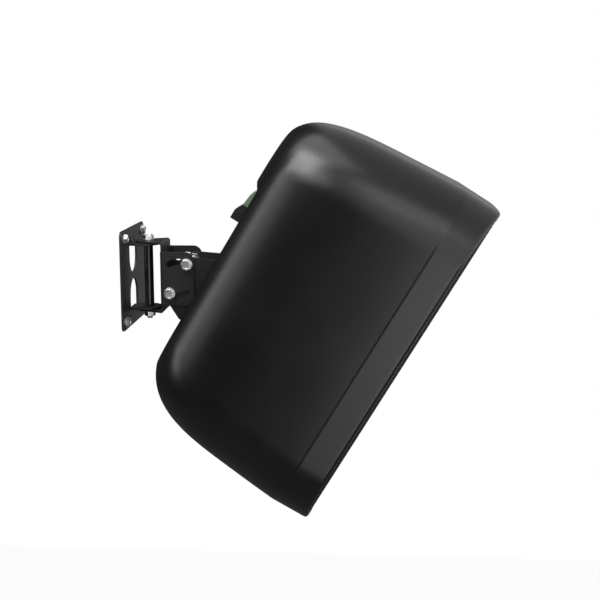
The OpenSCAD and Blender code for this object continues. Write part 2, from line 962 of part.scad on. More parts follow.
module woofer_spider() {
    waves = 4;
    inner = coil_d / 2 + 0.5;
    steps = 32;
    wave = [
        for (i = [0 : steps])
            let (f = i / steps)
            [inner + (spider_r - inner) * f, spider_z + 1.5 * (1 - cos(360 * waves * f)) / 2]
    ];
    back = [for (i = [steps : -1 : 0]) wave[i] + [0, 0.6]];
    color([0.75, 0.62, 0.35])
        at_woofer()
            rotate_extrude($fn = 72)
                polygon(concat(wave, back));
}

module woofer_voice_coil() {
    color([0.72, 0.4, 0.2])
        at_woofer()
            translate([0, 0, motor_z - top_plate_t - 4])
                ring(coil_d / 2 + 0.4, coil_d / 2 - 0.4, cone_low_z - motor_z + top_plate_t + 6);
}

module woofer_cone() {
    color([0.12, 0.12, 0.12])
        at_woofer()
            rotate_extrude($fn = 96)
                polygon([
                    [cone_neck_r, cone_low_z],
                    [(cone_neck_r + cone_r) / 2 + 3, (cone_low_z + cone_top_z) / 2 - 2],
                    [cone_r, cone_top_z], [cone_r, cone_top_z + cone_t],
                    [(cone_neck_r + cone_r) / 2 + 2, (cone_low_z + cone_top_z) / 2 - 1 + cone_t],
                    [cone_neck_r, cone_low_z + 1.4]
                ]);
}

module woofer_surround() {
    color([0.06, 0.06, 0.06])
        at_woofer()
            rotate_extrude($fn = 96)
                translate([surround_r, cone_top_z + cone_t]) {
                    difference() {
                        circle(roll_r);
                        circle(roll_r - 0.8);
                        translate([-2 * roll_r, -2 * roll_r])
                            square([4 * roll_r, 2 * roll_r]);
                    }
                    translate([roll_r - 0.8, -1])
                        square([surround_rim_r - surround_r - roll_r + 0.8, 0.8 + 0.2]);
                    translate([-roll_r - 3, 0])
                        square([3.8, 0.8]);
                }
}

// Height of the cone's face at radius r, on its steeper inner part
function cone_face(r) =
    let (mid = [(cone_neck_r + cone_r) / 2 + 2, (cone_low_z + cone_top_z) / 2 - 1 + cone_t])
    cone_low_z + 1.4 + (mid[1] - cone_low_z - 1.4) * (r - cone_neck_r) / (mid[0] - cone_neck_r);

module woofer_dust_cap() {
    cap_r = 19;
    rise = 6;
    ball_r = (cap_r * cap_r + rise * rise) / (2 * rise);
    base_z = cone_face(cap_r) + fit;
    color([0.1, 0.1, 0.1])
        at_woofer()
            translate([0, 0, base_z])
                rotate_extrude($fn = 72)
                    intersection() {
                        difference() {
                            translate([0, rise - ball_r])
                                circle(ball_r, $fn = 144);
                            translate([0, rise - ball_r])
                                circle(ball_r - 0.6, $fn = 144);
                        }
                        square([cap_r, rise + 1]);
                    }
}

module woofer_screws() {
    color([0.12, 0.12, 0.12])
        at_speaker()
            woofer_screw_places()
                translate([0, 0, frame_z]) {
                    cylinder(r = woofer_head_r, h = 2.2);
                    translate([0, 0, -frame_t - baffle_t - 4])
                        cylinder(r = woofer_screw_r, h = frame_t + baffle_t + 4 + eps);
                }
}

module at_tweeter() {
    at_speaker()
        translate([0, tweeter_y, 0])
            children();
}

module tweeter_waveguide() {
    throat = dome_d / 2 + 2;
    color([0.07, 0.07, 0.07])
        at_tweeter()
            difference() {
                rotate_extrude($fn = 96)
                    polygon([
                        [throat, frame_z - guide_depth], [throat + 5, frame_z - guide_depth + 5],
                        [throat + 14, frame_z - 4], [tweeter_r - 12, frame_z - 0.6], [tweeter_r - 9, frame_z],
                        [tweeter_r, frame_z], [tweeter_r, baffle_z], [tweeter_r - 6 - fit, baffle_z],
                        [tweeter_r - 6 - fit, baffle_z - 2], [throat + 16, baffle_z - 6],
                        [throat + 8, frame_z - guide_depth], [throat + 8, frame_z - guide_depth - 2],
                        [throat, frame_z - guide_depth - 2]
                    ]);
                translate([0, -tweeter_y, 0])
                    tweeter_screw_places()
                        translate([0, 0, baffle_z - 1])
                            cylinder(r = tweeter_screw_r + 2 * fit, h = frame_t + 2);
            }
}

module tweeter_dome() {
    rise = 5;
    cap_r = dome_d / 2;
    ball_r = (cap_r * cap_r + rise * rise) / (2 * rise);
    color([0.5, 0.5, 0.52])
        at_tweeter()
            translate([0, 0, frame_z - guide_depth - 2])
                rotate_extrude($fn = 72)
                    intersection() {
                        difference() {
                            translate([0, rise - ball_r])
                                circle(ball_r, $fn = 96);
                            translate([0, rise - ball_r])
                                circle(ball_r - 0.5, $fn = 96);
                        }
                        square([cap_r, rise + 1]);
                    }
}

module tweeter_motor() {
    low = frame_z - guide_depth - 2 - 16;
    color([0.2, 0.2, 0.21])
        at_tweeter()
            difference() {
                translate([0, 0, low])
                    cylinder(r = dome_d / 2 + 9, h = 16);
                translate([0, 0, low + 12])
                    cylinder(r = dome_d / 2 - 1, h = 5);
            }
}

module tweeter_screws() {
    color([0.12, 0.12, 0.12])
        at_speaker()
            tweeter_screw_places()
                translate([0, 0, frame_z]) {
                    cylinder(r = 2.8, h = 1.8);
                    translate([0, 0, -frame_t - baffle_t - 3])
                        cylinder(r = tweeter_screw_r, h = frame_t + baffle_t + 3 + eps);
                }
}

module port_tubes() {
    outer_r = port_d / 2 + port_wall;
    flare = 3;
    color([0.06, 0.06, 0.06])
        at_speaker()
            for (x = [-1, 1])
                translate([x * port_x, tweeter_y, 0])
                    rotate_extrude($fn = 60)
                        polygon([
                            [port_d / 2, baffle_z - port_len], [outer_r, baffle_z - port_len],
                            [outer_r, baffle_z], [outer_r + flare, baffle_z],
                            [outer_r + flare, baffle_z + 1.5], [port_d / 2 + 2.4, baffle_z + 1.5],
                            [port_d / 2 + 0.7, baffle_z - 0.2], [port_d / 2, baffle_z - 3]
                        ]);
}

module crossover_board() {
    color([0.1, 0.25, 0.14])
        at_speaker()
            difference() {
                translate([-board_w / 2, board_low_y, board_z])
                    cube([board_w, board_top_y - board_low_y, board_t]);
                board_posts()
                    cylinder(r = 1.3, h = board_z);
                for (i = [0 : poles - 1])
                    translate([(i - (poles - 1) / 2) * pole_pitch, header_top_y - 5, board_z - 1])
                        cylinder(r = pin_r + fit, h = board_t + 2);
            }
}

module crossover_coil() {
    coil_h = 18;
    color([0.72, 0.4, 0.2])
        at_speaker()
            translate([-22, board_low_y + 26, board_z + board_t])
                ring(16, 8, coil_h);
}

module crossover_capacitors() {
    color([0.75, 0.65, 0.2])
        at_speaker()
            for (i = [0 : 2])
                translate([6, board_low_y + 13 + i * 17, board_z + board_t + 6.5])
                    rotate([0, 90, 0])
                        cylinder(r = 6.5, h = 28);
}

module board_screws() {
    color([0.7, 0.7, 0.68])
        at_speaker()
            board_posts()
                translate([0, 0, board_z + board_t - seat_z]) {
                    cylinder(r = 2.6, h = 1.8);
                    translate([0, 0, -board_t - 6])
                        cylinder(r = 0.9, h = board_t + 6 + eps);
                }
}

// Profiles of the terminal, seen from the side, with z forward and y up
module terminal_side(w) {
    rotate([0, -90, 0])
        translate([0, 0, -w / 2])
            linear_extrude(w)
                children();
}

module terminal_header() {
    color([0.28, 0.42, 0.24])
        at_speaker()
            difference() {
                terminal_side(header_w)
                    polygon([
                        [seat_z - header_out, plug_top_y], [seat_z - header_top_out, header_top_y],
                        [well_z, header_top_y], [well_z, plug_top_y]
                    ]);
                terminal_side(plug_w - 1 + 2 * play)
                    translate([nose_out_z - play, plug_top_y - 1])
                        square([nose_in_z - nose_out_z + 2 * play, nose_len + 1 + play]);
                for (i = [0 : poles - 1])
                    translate([
                        (i - (poles - 1) / 2) * pole_pitch, header_top_y - 5, (nose_out_z + nose_in_z) / 2
                    ]) {
                        cylinder(r = pin_r + fit / 2, h = 20);
                        sphere(r = pin_r + fit / 2);
                        rotate([90, 0, 0])
                            cylinder(r = pin_r + fit / 2, h = 10);
                    }
            }
}

// Bent pins: a leg into the board and a leg down into the plug
module terminal_pins() {
    pin_z = (nose_out_z + nose_in_z) / 2;
    color([0.78, 0.66, 0.36])
        at_speaker()
            for (i = [0 : poles - 1])
                translate([(i - (poles - 1) / 2) * pole_pitch, header_top_y - 5, pin_z]) {
                    cylinder(r = pin_r, h = board_z + board_t + 1 - pin_z);
                    sphere(r = pin_r);
                    rotate([90, 0, 0])
                        cylinder(r = pin_r, h = 12);
                }
}

module terminal_plug() {
    color([0.08, 0.08, 0.08])
        at_speaker()
            difference() {
                union() {
                    terminal_side(plug_w)
                        polygon([
                            [seat_z - header_out, plug_top_y - play], [nose_in_z, plug_top_y - play],
                            [nose_in_z, plug_low_y], [seat_z - plug_out, plug_low_y],
                            [seat_z - plug_out, plug_top_y - plug_slope]
                        ]);
                    terminal_side(plug_w - 1)
                        translate([nose_out_z, plug_top_y - 1])
                            square([nose_in_z - nose_out_z, nose_len + 1]);
                }
                for (i = [0 : poles - 1])
                    translate([(i - (poles - 1) / 2) * pole_pitch, 0, 0]) {
                        translate([0, plug_top_y + nose_len + 1, (nose_out_z + nose_in_z) / 2])
                            rotate([90, 0, 0])
                                cylinder(r = pin_r + 2 * fit, h = nose_len + 6);
                        translate([-1.6, plug_low_y - 1, seat_z - plug_out + 5])
                            cube([3.2, 8, 5]);
                        translate([0, plug_low_y + 8, seat_z - plug_out - 1])
                            cylinder(r = 1.7, h = 5);
                    }
            }
}

module plug_screws() {
    color([0.72, 0.72, 0.7])
        at_speaker()
            for (i = [0 : poles - 1])
                translate([(i - (poles - 1) / 2) * pole_pitch, plug_low_y + 8, seat_z - plug_out + 0.8])
                    cylinder(r = 1.6, h = 3.2);
}

module damping_pad() {
    pad_w = 0.38 * cab_w;
    pad_h = 0.11 * cab_h;
    pad_top = -yoke_screw_y / 2 - insert_r - 5;
    pad_t = 22;
    color([0.85, 0.85, 0.82])
        at_speaker()
            translate([-pad_w / 2, pad_top - pad_h, seat_z + cab_wall + play])
                cube([pad_w, pad_h, pad_t]);
}

wall_plate();
wall_screws();
wall_washers();
pan_bolt();
pan_nut();
pan_washers();
pan_sleeve();
swivel_bracket();
speaker_yoke();
tilt_bolts();
tilt_washers();
tilt_nuts();
yoke_screws();
yoke_inserts();
rear_cabinet();
front_baffle();
baffle_screws();
grille();
grille_liner();
woofer_basket();
woofer_top_plate();
woofer_magnet();
woofer_pole_yoke();
woofer_spider();
woofer_voice_coil();
woofer_cone();
woofer_surround();
woofer_dust_cap();
woofer_screws();
tweeter_waveguide();
tweeter_dome();
tweeter_motor();
tweeter_screws();
port_tubes();
crossover_board();
crossover_coil();
crossover_capacitors();
board_screws();
terminal_header();
terminal_pins();
terminal_plug();
plug_screws();
damping_pad();
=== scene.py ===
"""Looks of a wall speaker on its pan and tilt bracket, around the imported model."""
import math

import bmesh
import bpy
import numpy as np
from mathutils import Matrix, Vector


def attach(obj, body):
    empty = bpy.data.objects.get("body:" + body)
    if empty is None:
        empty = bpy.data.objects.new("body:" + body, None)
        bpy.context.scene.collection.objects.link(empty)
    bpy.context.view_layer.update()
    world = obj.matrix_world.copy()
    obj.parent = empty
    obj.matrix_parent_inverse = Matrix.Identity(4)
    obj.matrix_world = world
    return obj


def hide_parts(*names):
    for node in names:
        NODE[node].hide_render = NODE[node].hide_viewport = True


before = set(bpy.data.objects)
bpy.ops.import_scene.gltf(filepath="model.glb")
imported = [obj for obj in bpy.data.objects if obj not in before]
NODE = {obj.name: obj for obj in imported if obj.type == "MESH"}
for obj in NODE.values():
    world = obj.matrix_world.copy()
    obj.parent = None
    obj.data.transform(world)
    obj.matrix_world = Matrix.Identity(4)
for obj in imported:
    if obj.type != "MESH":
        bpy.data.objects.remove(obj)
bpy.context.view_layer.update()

# Sizes in millimetres, the same as the solids have
MM = 0.001
CLEAR = 0.02          # keeps faces that turn on each other out of one plane

# Bracket
SHEET = 2.0
PAN_Y = 18.0
EAR_GAP = 64.0
TAB_TOP = EAR_GAP / 2 + 2 * SHEET + 0.1
SLEEVE_R = 4.75
SWIVEL_W = 55.0
TILT_Y = 53.0
TILT = math.radians(31.2)
SLOT_R = 17.3
YOKE_W = SWIVEL_W - 2 * SHEET - 0.4
SEAT_Z = 25.3

# Fasteners
SCREW_PITCH = 84.0
SCREW_R = 2.5
SCREW_FLATS = 8.0
SCREW_HEAD = 3.4
SCREW_REACH = 2.0
WALL_WASHER = 1.0
PAN_WASHER = 1.6
TILT_WASHER = 1.2
BOLT_R = 3.0
BOLT_FLATS = 10.0
BOLT_HEAD = 3.9
BOLT_THREAD = 12.0
BOLT_END = 2.4        # bolt's end past its nut
NUT_T = 5.0
NUT_BORE = 3.05
WASHER_R = 6.0
WASHER_BORE = 3.1
YOKE_SCREW_X = 13.0
YOKE_SCREW_Y = 25.0

# Cabinet
CAB_W = 225.0
CAB_H = 361.0
CAB_DEPTH = 205.5
WALL = 3.5
RISE = 45.0           # cabinet's middle above the tilt bolts
RECESS = 6.5          # flat back below the crown
HOOD_Y = 130.0
BEZEL_DEPTH = 30.0
BACK_LESS_W = 34.0
BACK_LESS_H = 25.0
RIM_LESS = 2.0
CORNER_R = 63.0
ROUND_IN = 69.0
ROUND_DEEP = 120.0
ROUND_LOW = 37.0
ROUND_POWER = 0.59
CROWN_Z = SEAT_Z - RECESS
RIM_Z = CROWN_Z + CAB_DEPTH
PART_Z = RIM_Z - BEZEL_DEPTH
SEAM = 0.06           # broken edge on both sides of the parting line

# Well of the terminal
WELL_HALF = 12.0
WELL_LOW = 64.5
WELL_HIGH = 115.5
WELL_FLOOR = SEAT_Z + 6.0
WELL_SKIN = 2.5

# Front
BEZEL_WALL = 6.0
LIP_OUT = WALL + 0.3  # insets of the lip inside the cabinet
LIP_IN = WALL + 2.1
LIP_REACH = 6.0
BAFFLE_Z = RIM_Z - 15.0
BAFFLE_T = 5.0
BOW = 15.0
BOW_HALF = CAB_W / 2 - RIM_LESS / 2
BOW_R = (BOW_HALF ** 2 + BOW ** 2) / (2 * BOW)
BOW_AXIS = RIM_Z + BOW - BOW_R
GRILLE_T = 1.2
GRILLE_GAP = 0.25
GRILLE_BACK = RIM_Z - 9.0
GRILLE_SHEET = 1.0
HOLE_PITCH = 4.05
HOLE_R = 1.36
WOOFER_Y = RISE - 62.0
WOOFER_HOLE = 71.0
TWEETER_Y = RISE + 88.0
TWEETER_HOLE = 46.0
PORT_X = 78.0
PORT_R = 15.2

# Terminal
POLES = 4
POLE_PITCH = 5.0
HEADER_HALF = 11.5
HEADER_H = 19.0
HEADER_BACK = 8.4     # how far it stands out of the flat back
PLUG_TOP = 96.5
PLUG_HALF = 10.5
PLUG_L = 18.0
PLUG_BACK = 13.0
GROOVE = 0.7
ENTRY = 1.6           # half width of a wire's way in
DRIVER_R = 1.7        # holes over the clamping screws

# Meshes
SHARP = 35.0          # degrees from which an edge stays sharp
MERGE = 1e-6          # metres within which points are merged


# Mesh helpers
def to_row(p):
    """Speaker frame (x across, y up along the tilt bolts, z forward, mm) to the row's metres:
    a turn by the rest tilt about the tilt centre."""
    x, y, z = p[..., 0], p[..., 1], p[..., 2]
    s, c = math.sin(TILT), math.cos(TILT)
    return np.stack([x, -TILT_Y - y * s - z * c, y * c - z * s], -1) * MM


def grid_faces(rows, cols, wrap_rows=False):
    """Quads between neighbours of a rows by cols grid of points, whose columns close on themselves."""
    i, j = np.arange(rows if wrap_rows else rows - 1), np.arange(cols)
    a, b = np.meshgrid(i, j, indexing="ij")
    a2, b2 = (a + 1) % rows, (b + 1) % cols
    quads = np.stack([a * cols + b, a * cols + b2, a2 * cols + b2, a2 * cols + b], -1)
    return quads.reshape(-1, 4)


def piece(name, points, faces, body, sharp=SHARP, merge=MERGE):
    """Makes a mesh object from arrays, closes its seams, turns its faces out and lets it ride."""
    mesh = bpy.data.meshes.new(name)
    mesh.from_pydata(points.reshape(-1, 3).tolist(), [], np.asarray(faces).tolist())
    obj = bpy.data.objects.new(name, mesh)
    bpy.context.scene.collection.objects.link(obj)
    finish_mesh(obj, sharp, merge)
    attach(obj, body)
    return obj


def finish_mesh(obj, sharp=SHARP, merge=MERGE):
    """Merges doubles, drops flat slivers, points faces outwards and smooths all but sharp edges."""
    bm = bmesh.new()
    bm.from_mesh(obj.data)
    bmesh.ops.remove_doubles(bm, verts=bm.verts, dist=merge)
    bmesh.ops.dissolve_degenerate(bm, edges=bm.edges, dist=merge)
    bmesh.ops.recalc_face_normals(bm, faces=bm.faces)
    limit = math.radians(sharp)
    for edge in bm.edges:
        edge.smooth = edge.calc_face_angle(0.0) < limit
    for face in bm.faces:
        face.smooth = True
    bm.to_mesh(obj.data)
    bm.free()
    obj.data.update()


def boolean(obj, cutters, sharp=SHARP):
    """Cuts the cutters' solids from obj and removes them."""
    bpy.context.view_layer.update()
    for tool in cutters:
        mod = obj.modifiers.new("cut", "BOOLEAN")
        mod.operation, mod.solver, mod.object = "DIFFERENCE", "EXACT", tool
    graph = bpy.context.evaluated_depsgraph_get()
    cut = bpy.data.meshes.new_from_object(obj.evaluated_get(graph))
    obj.modifiers.clear()
    obj.data = cut
    for tool in cutters:
        bpy.data.objects.remove(tool)
    finish_mesh(obj, sharp)


def cutter(points, faces):
    """A closed helper solid for a cut."""
    mesh = bpy.data.meshes.new("cutter")
    mesh.from_pydata(points.reshape(-1, 3).tolist(), [], np.asarray(faces).tolist())
    obj = bpy.data.objects.new("cutter", mesh)
    bpy.context.scene.collection.objects.link(obj)
    finish_mesh(obj)
    return obj


def rounded_path(w, h, r, arc=26, side=30):
    """Rounded rectangle as one closed row of points: quarter circles of arc + 1 points joined by
    straight sides of evenly spread points. w, h and r may be columns, one row for each ring."""
    w, h, r = [np.atleast_1d(np.asarray(v, float))[:, None] for v in (w, h, r)]
    r = np.maximum(r, 0.5)
    t = np.linspace(0, np.pi / 2, arc + 1)[None, :]
    out = []
    for sx, sy, turn in ((1, 1, 0), (-1, 1, 1), (-1, -1, 2), (1, -1, 3)):
        a = t + turn * np.pi / 2
        x, y = sx * (w / 2 - r) + r * np.cos(a), sy * (h / 2 - r) + r * np.sin(a)
        out.append(np.stack([x, y], -1))
    rows = []
    for k in range(4):
        rows.append(out[k])
        f = np.linspace(0, 1, side + 2)[1:-1][None, :, None]
        rows.append(out[k][:, -1:, :] * (1 - f) + out[(k + 1) % 4][:, :1, :] * f)
    return np.concatenate(rows, 1)


def lathe(profile, steps=48):
    """Turns a closed (radius, height) profile about the z axis: x = r cos a, y = r sin a."""
    a = np.arange(steps) * 2 * np.pi / steps
    p = np.asarray(profile, float)
    pts = np.stack([p[:, None, 0] * np.cos(a), p[:, None, 0] * np.sin(a),
                    np.repeat(p[:, 1:2], steps, 1)], -1)
    return pts, grid_faces(len(p), steps, wrap_rows=True)


def place(points, origin, axis, up=(0, 0, 1), spin=0.0):
    """Moves points made about +z so that z follows axis and the origin lies at origin."""
    z = np.asarray(axis, float)
    z = z / np.linalg.norm(z)
    u = np.asarray(up, float)
    x = np.cross(u, z)
    x = x / np.linalg.norm(x)
    y = np.cross(z, x)
    c, s = math.cos(spin), math.sin(spin)
    x, y = c * x + s * y, c * y - s * x
    turned = points[..., :1] * x + points[..., 1:2] * y + points[..., 2:3] * z
    return turned + np.asarray(origin, float)


def gather(parts):
    """Joins (points, faces) pairs into one."""
    pts, faces, at = [], [], 0
    for p, f in parts:
        p = p.reshape(-1, 3)
        pts.append(p)
        faces.append(np.asarray(f) + at)
        at += len(p)
    return np.concatenate(pts), np.concatenate(faces)


# Fasteners
def hexagon(flats, height, bore=0.0, steps=72, dish=0.0):
    """Hexagon head or nut from z = 0 to height. Its radius follows flats / 2 / cos(angle from the
    nearest flat), and a 30 degree cone cuts its corners: z falls by (r - 0.93 flats / 2) tan 30."""
    a = np.arange(steps) * 2 * np.pi / steps
    edge = flats / 2 / np.cos((a + np.pi / 6) % (np.pi / 3) - np.pi / 6)
    inner = np.full(steps, 0.93 * flats / 2)
    fall = (edge - inner) * math.tan(math.pi / 6)
    rows = [(np.full(steps, bore), np.full(steps, 0.0)), (edge - 0.25, np.full(steps, 0.0)),
            (edge, np.full(steps, 0.25)), (edge, height - fall)]
    rows += [(inner + (edge - inner) * f, height - fall * f ** 1.5) for f in (0.66, 0.33)]
    top, sunk = np.full(steps, height), np.full(steps, height - dish)
    rows += [(inner, top), (inner * 0.8, top), (inner * 0.72, sunk), (np.full(steps, bore), sunk)]
    pts = np.stack([np.stack([r * np.cos(a), r * np.sin(a), z], -1) for r, z in rows])
    return pts, grid_faces(len(rows), steps, wrap_rows=bore > 0)


def thread(radius, z_from, z_to, pitch=1.0, depth=0.45, around=28, per_pitch=6):
    """Screw thread, closed at both ends: r = radius - depth |2 frac(z / pitch - angle / turn) - 1|."""
    a = np.arange(around) * 2 * np.pi / around
    n = max(int((z_to - z_from) / pitch * per_pitch), 4)
    z = np.linspace(z_from, z_to, n)
    saw = np.abs(2 * ((z[:, None] / pitch - a[None, :] / (2 * np.pi)) % 1.0) - 1)
    ends = np.minimum(1, np.minimum(z - z_from, z_to - z)[:, None] / (0.6 * pitch) + 0.25)
    r = (radius - depth * saw) * np.where(ends < 1, 0.8 + 0.2 * ends, 1)
    rows = np.stack([r * np.cos(a), r * np.sin(a), np.repeat(z[:, None], around, 1)], -1)
    tip = [np.zeros((1, around, 3)) + [0, 0, z_from], rows, np.zeros((1, around, 3)) + [0, 0, z_to]]
    pts = np.concatenate(tip)
    return pts, grid_faces(len(pts), around)


def washer(outer, inner, t):
    """Flat washer with broken edges."""
    e = 0.15
    return lathe([(inner, 0), (outer - e, 0), (outer, e), (outer, t - e), (outer - e, t),
                  (inner, t)], 56)


def many(name, shapes, places, body, node, in_speaker=False):
    """One piece that repeats (points, faces) shapes at each (origin, axis, spin) place."""
    parts = []
    for origin, axis, spin in places:
        for pts, faces in shapes:
            up = (0, 0, 1) if abs(axis[2]) < 0.9 else (0, 1, 0)
            parts.append((place(pts, origin, axis, up, spin), faces))
    pts, faces = gather(parts)
    obj = piece(name, to_row(pts) if in_speaker else pts * MM, faces, body, 30)
    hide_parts(node)


def shifted(shape, rise, side=1):
    """The shape moved along its axis, after a mirror across it where side is -1."""
    pts, faces = shape
    return pts * [1, 1, side] + [0, 0, rise], faces


def bolt(seat, tip, into_head):
    """Bolt along z: head on the seat, plain shank, and a thread that ends at the tip."""
    plain = tip + BOLT_THREAD - 1
    top = seat + into_head
    return [shifted(hexagon(BOLT_FLATS, BOLT_HEAD, dish=0.6), seat),
            thread(BOLT_R - 0.05, tip, tip + BOLT_THREAD, 1.0, 0.5),
            lathe([(0, plain), (BOLT_R, plain), (BOLT_R, top), (0, top)])]


def wall_fasteners():
    """Screws and washers at the wall plate's corners."""
    half = SCREW_PITCH / 2
    corners = [(x * half, 0, z * half) for x in (-1, 1) for z in (-1, 1)]
    places = [(c, (0, -1, 0), 0.35 * k) for k, c in enumerate(corners)]
    head = shifted(hexagon(SCREW_FLATS, SCREW_HEAD, dish=0.5), SHEET + WALL_WASHER)
    shank = thread(SCREW_R, -SCREW_REACH, SHEET + WALL_WASHER + 0.6, 0.8, 0.3)
    many("wall_screw_set", [head, shank], places, "wall", "wall_screws")
    disc = shifted(washer(5.25, 2.6, WALL_WASHER), SHEET)
    many("wall_washer_set", [disc], places, "wall", "wall_washers")


def pan_fasteners():
    """Bolt, nut, washers and sleeve on the pan axis."""
    seat = TAB_TOP + PAN_WASHER
    axis = [((0, -PAN_Y, 0), (0, 0, 1), 0.3)]
    many("pan_bolt_threaded", bolt(seat, -seat - NUT_T - BOLT_END, 0.4), axis, "wall", "pan_bolt")
    nut = hexagon(BOLT_FLATS, NUT_T, NUT_BORE)
    many("pan_nut_hex", [shifted(nut, -seat, -1)], [((0, -PAN_Y, 0), (0, 0, 1), 0.35)], "wall",
         "pan_nut")
    disc = washer(WASHER_R, WASHER_BORE, PAN_WASHER)
    many("pan_washer_pair", [shifted(disc, TAB_TOP), shifted(disc, -seat)], axis, "wall",
         "pan_washers")
    half, bore, edge = EAR_GAP / 2, 3.1, 0.4
    tube = lathe([(bore, -half), (SLEEVE_R - edge, -half), (SLEEVE_R, edge - half),
                  (SLEEVE_R, half - edge), (SLEEVE_R - edge, half), (bore, half)], 64)
    many("pan_spacer", [tube], axis, "wall", "pan_sleeve")


def tilt_fasteners():
    """Bolts, washers and nuts of the tilt slots, two on each side, and the yoke's screws."""
    sides = [((0, y * SLOT_R, 0), (s, 0, 0), 0.21 * (2 + y) * s) for s in (-1, 1) for y in (-1, 1)]
    seat = SWIVEL_W / 2 + TILT_WASHER
    inside = YOKE_W / 2 - SHEET - NUT_T
    many("tilt_bolt_set", bolt(seat, inside - 2, 1), sides, "speaker", "tilt_bolts", True)
    disc = shifted(washer(WASHER_R, WASHER_BORE, TILT_WASHER), SWIVEL_W / 2 + CLEAR)
    many("tilt_washer_set", [disc], sides, "speaker", "tilt_washers", True)
    nut = shifted(hexagon(BOLT_FLATS, NUT_T, NUT_BORE), inside)
    many("tilt_nut_set", [nut], sides, "speaker", "tilt_nuts", True)
    holes = [((x * YOKE_SCREW_X, y * YOKE_SCREW_Y, SEAT_Z - SHEET), (0, 0, -1), 0.4 * x)
             for x in (-1, 1) for y in (-1, 1)]
    dome = lathe([(0, -8), (2.5, -8), (2.5, 0), (4.5, 0), (4.5, 1.2), (4.1, 2.2), (3.2, 2.9),
                  (2.2, 3.0), (1.9, 1.2), (0, 1.2)])
    many("yoke_screw_set", [dome], holes, "speaker", "yoke_screws", True)


# Cabinet, front and terminal
def even_steps(n, depth, inward, power):
    """Rounding angles that lie evenly along the curve (inward (1 - sin^p), depth (1 - cos^p))."""
    a = np.linspace(0, np.pi / 2, 4001)
    x, z = inward * (1 - np.sin(a) ** power), depth * (1 - np.cos(a) ** power)
    run = np.concatenate([[0], np.cumsum(np.hypot(np.diff(x), np.diff(z)))])
    return np.interp(np.linspace(0, run[-1], n), run, a)


def cabinet_rings(wall, n, fill):
    """Rings of the rear cabinet. At rounding angle a the ring lies at z = crown + deep (1 - cos^p a)
    and is drawn in by in (1 - sin^p a), more below than above, on a flare towards the parting."""
    a = even_steps(n, ROUND_DEEP, ROUND_IN, ROUND_POWER)
    z = CROWN_Z + ROUND_DEEP * (1 - np.maximum(np.cos(a), 0) ** ROUND_POWER)
    turn = ROUND_IN * (1 - np.sin(a) ** ROUND_POWER)
    extra = np.linspace(z[-1], PART_Z, 12)[1:]
    z_all = np.concatenate([z, extra])
    turn = np.concatenate([turn, np.zeros(len(extra))])
    a = np.concatenate([a, np.full(len(extra), np.pi / 2)])
    f = (z_all - CROWN_Z) / (PART_Z - CROWN_Z)
    w = CAB_W - BACK_LESS_W * (1 - f) ** 1.5 - 2 * turn - 2 * wall * np.sin(a)
    h = CAB_H - BACK_LESS_H * (1 - f) - 2 * turn - 2 * wall * np.sin(a)
    r = np.minimum(CORNER_R - 0.4 * turn - wall * np.sin(a), w / 2 - 1)
    path = rounded_path(w, h, r)
    mid = RISE + ROUND_LOW / 2 * turn / ROUND_IN
    zz = z_all + wall * np.cos(a)
    out = np.empty(path.shape[:2] + (3,))
    out[..., 0] = path[..., 0]
    out[..., 1] = path[..., 1] + mid[:, None]
    out[..., 2] = zz[:, None]
    # fill inside the first ring, from its middle outwards
    first = out[:1]
    centre = np.array([0, mid[0], zz[0]])
    s = np.linspace(0, 1, fill)[:-1, None, None]
    return np.concatenate([centre + (first - centre) * s, out])


def back_plane(y):
    """Flat back below the hood, the hood's 45 degree lower edge, and nothing above it."""
    slope = SEAT_Z - (y - (HOOD_Y - RECESS))
    return np.where(y < HOOD_Y - RECESS, SEAT_Z, slope)


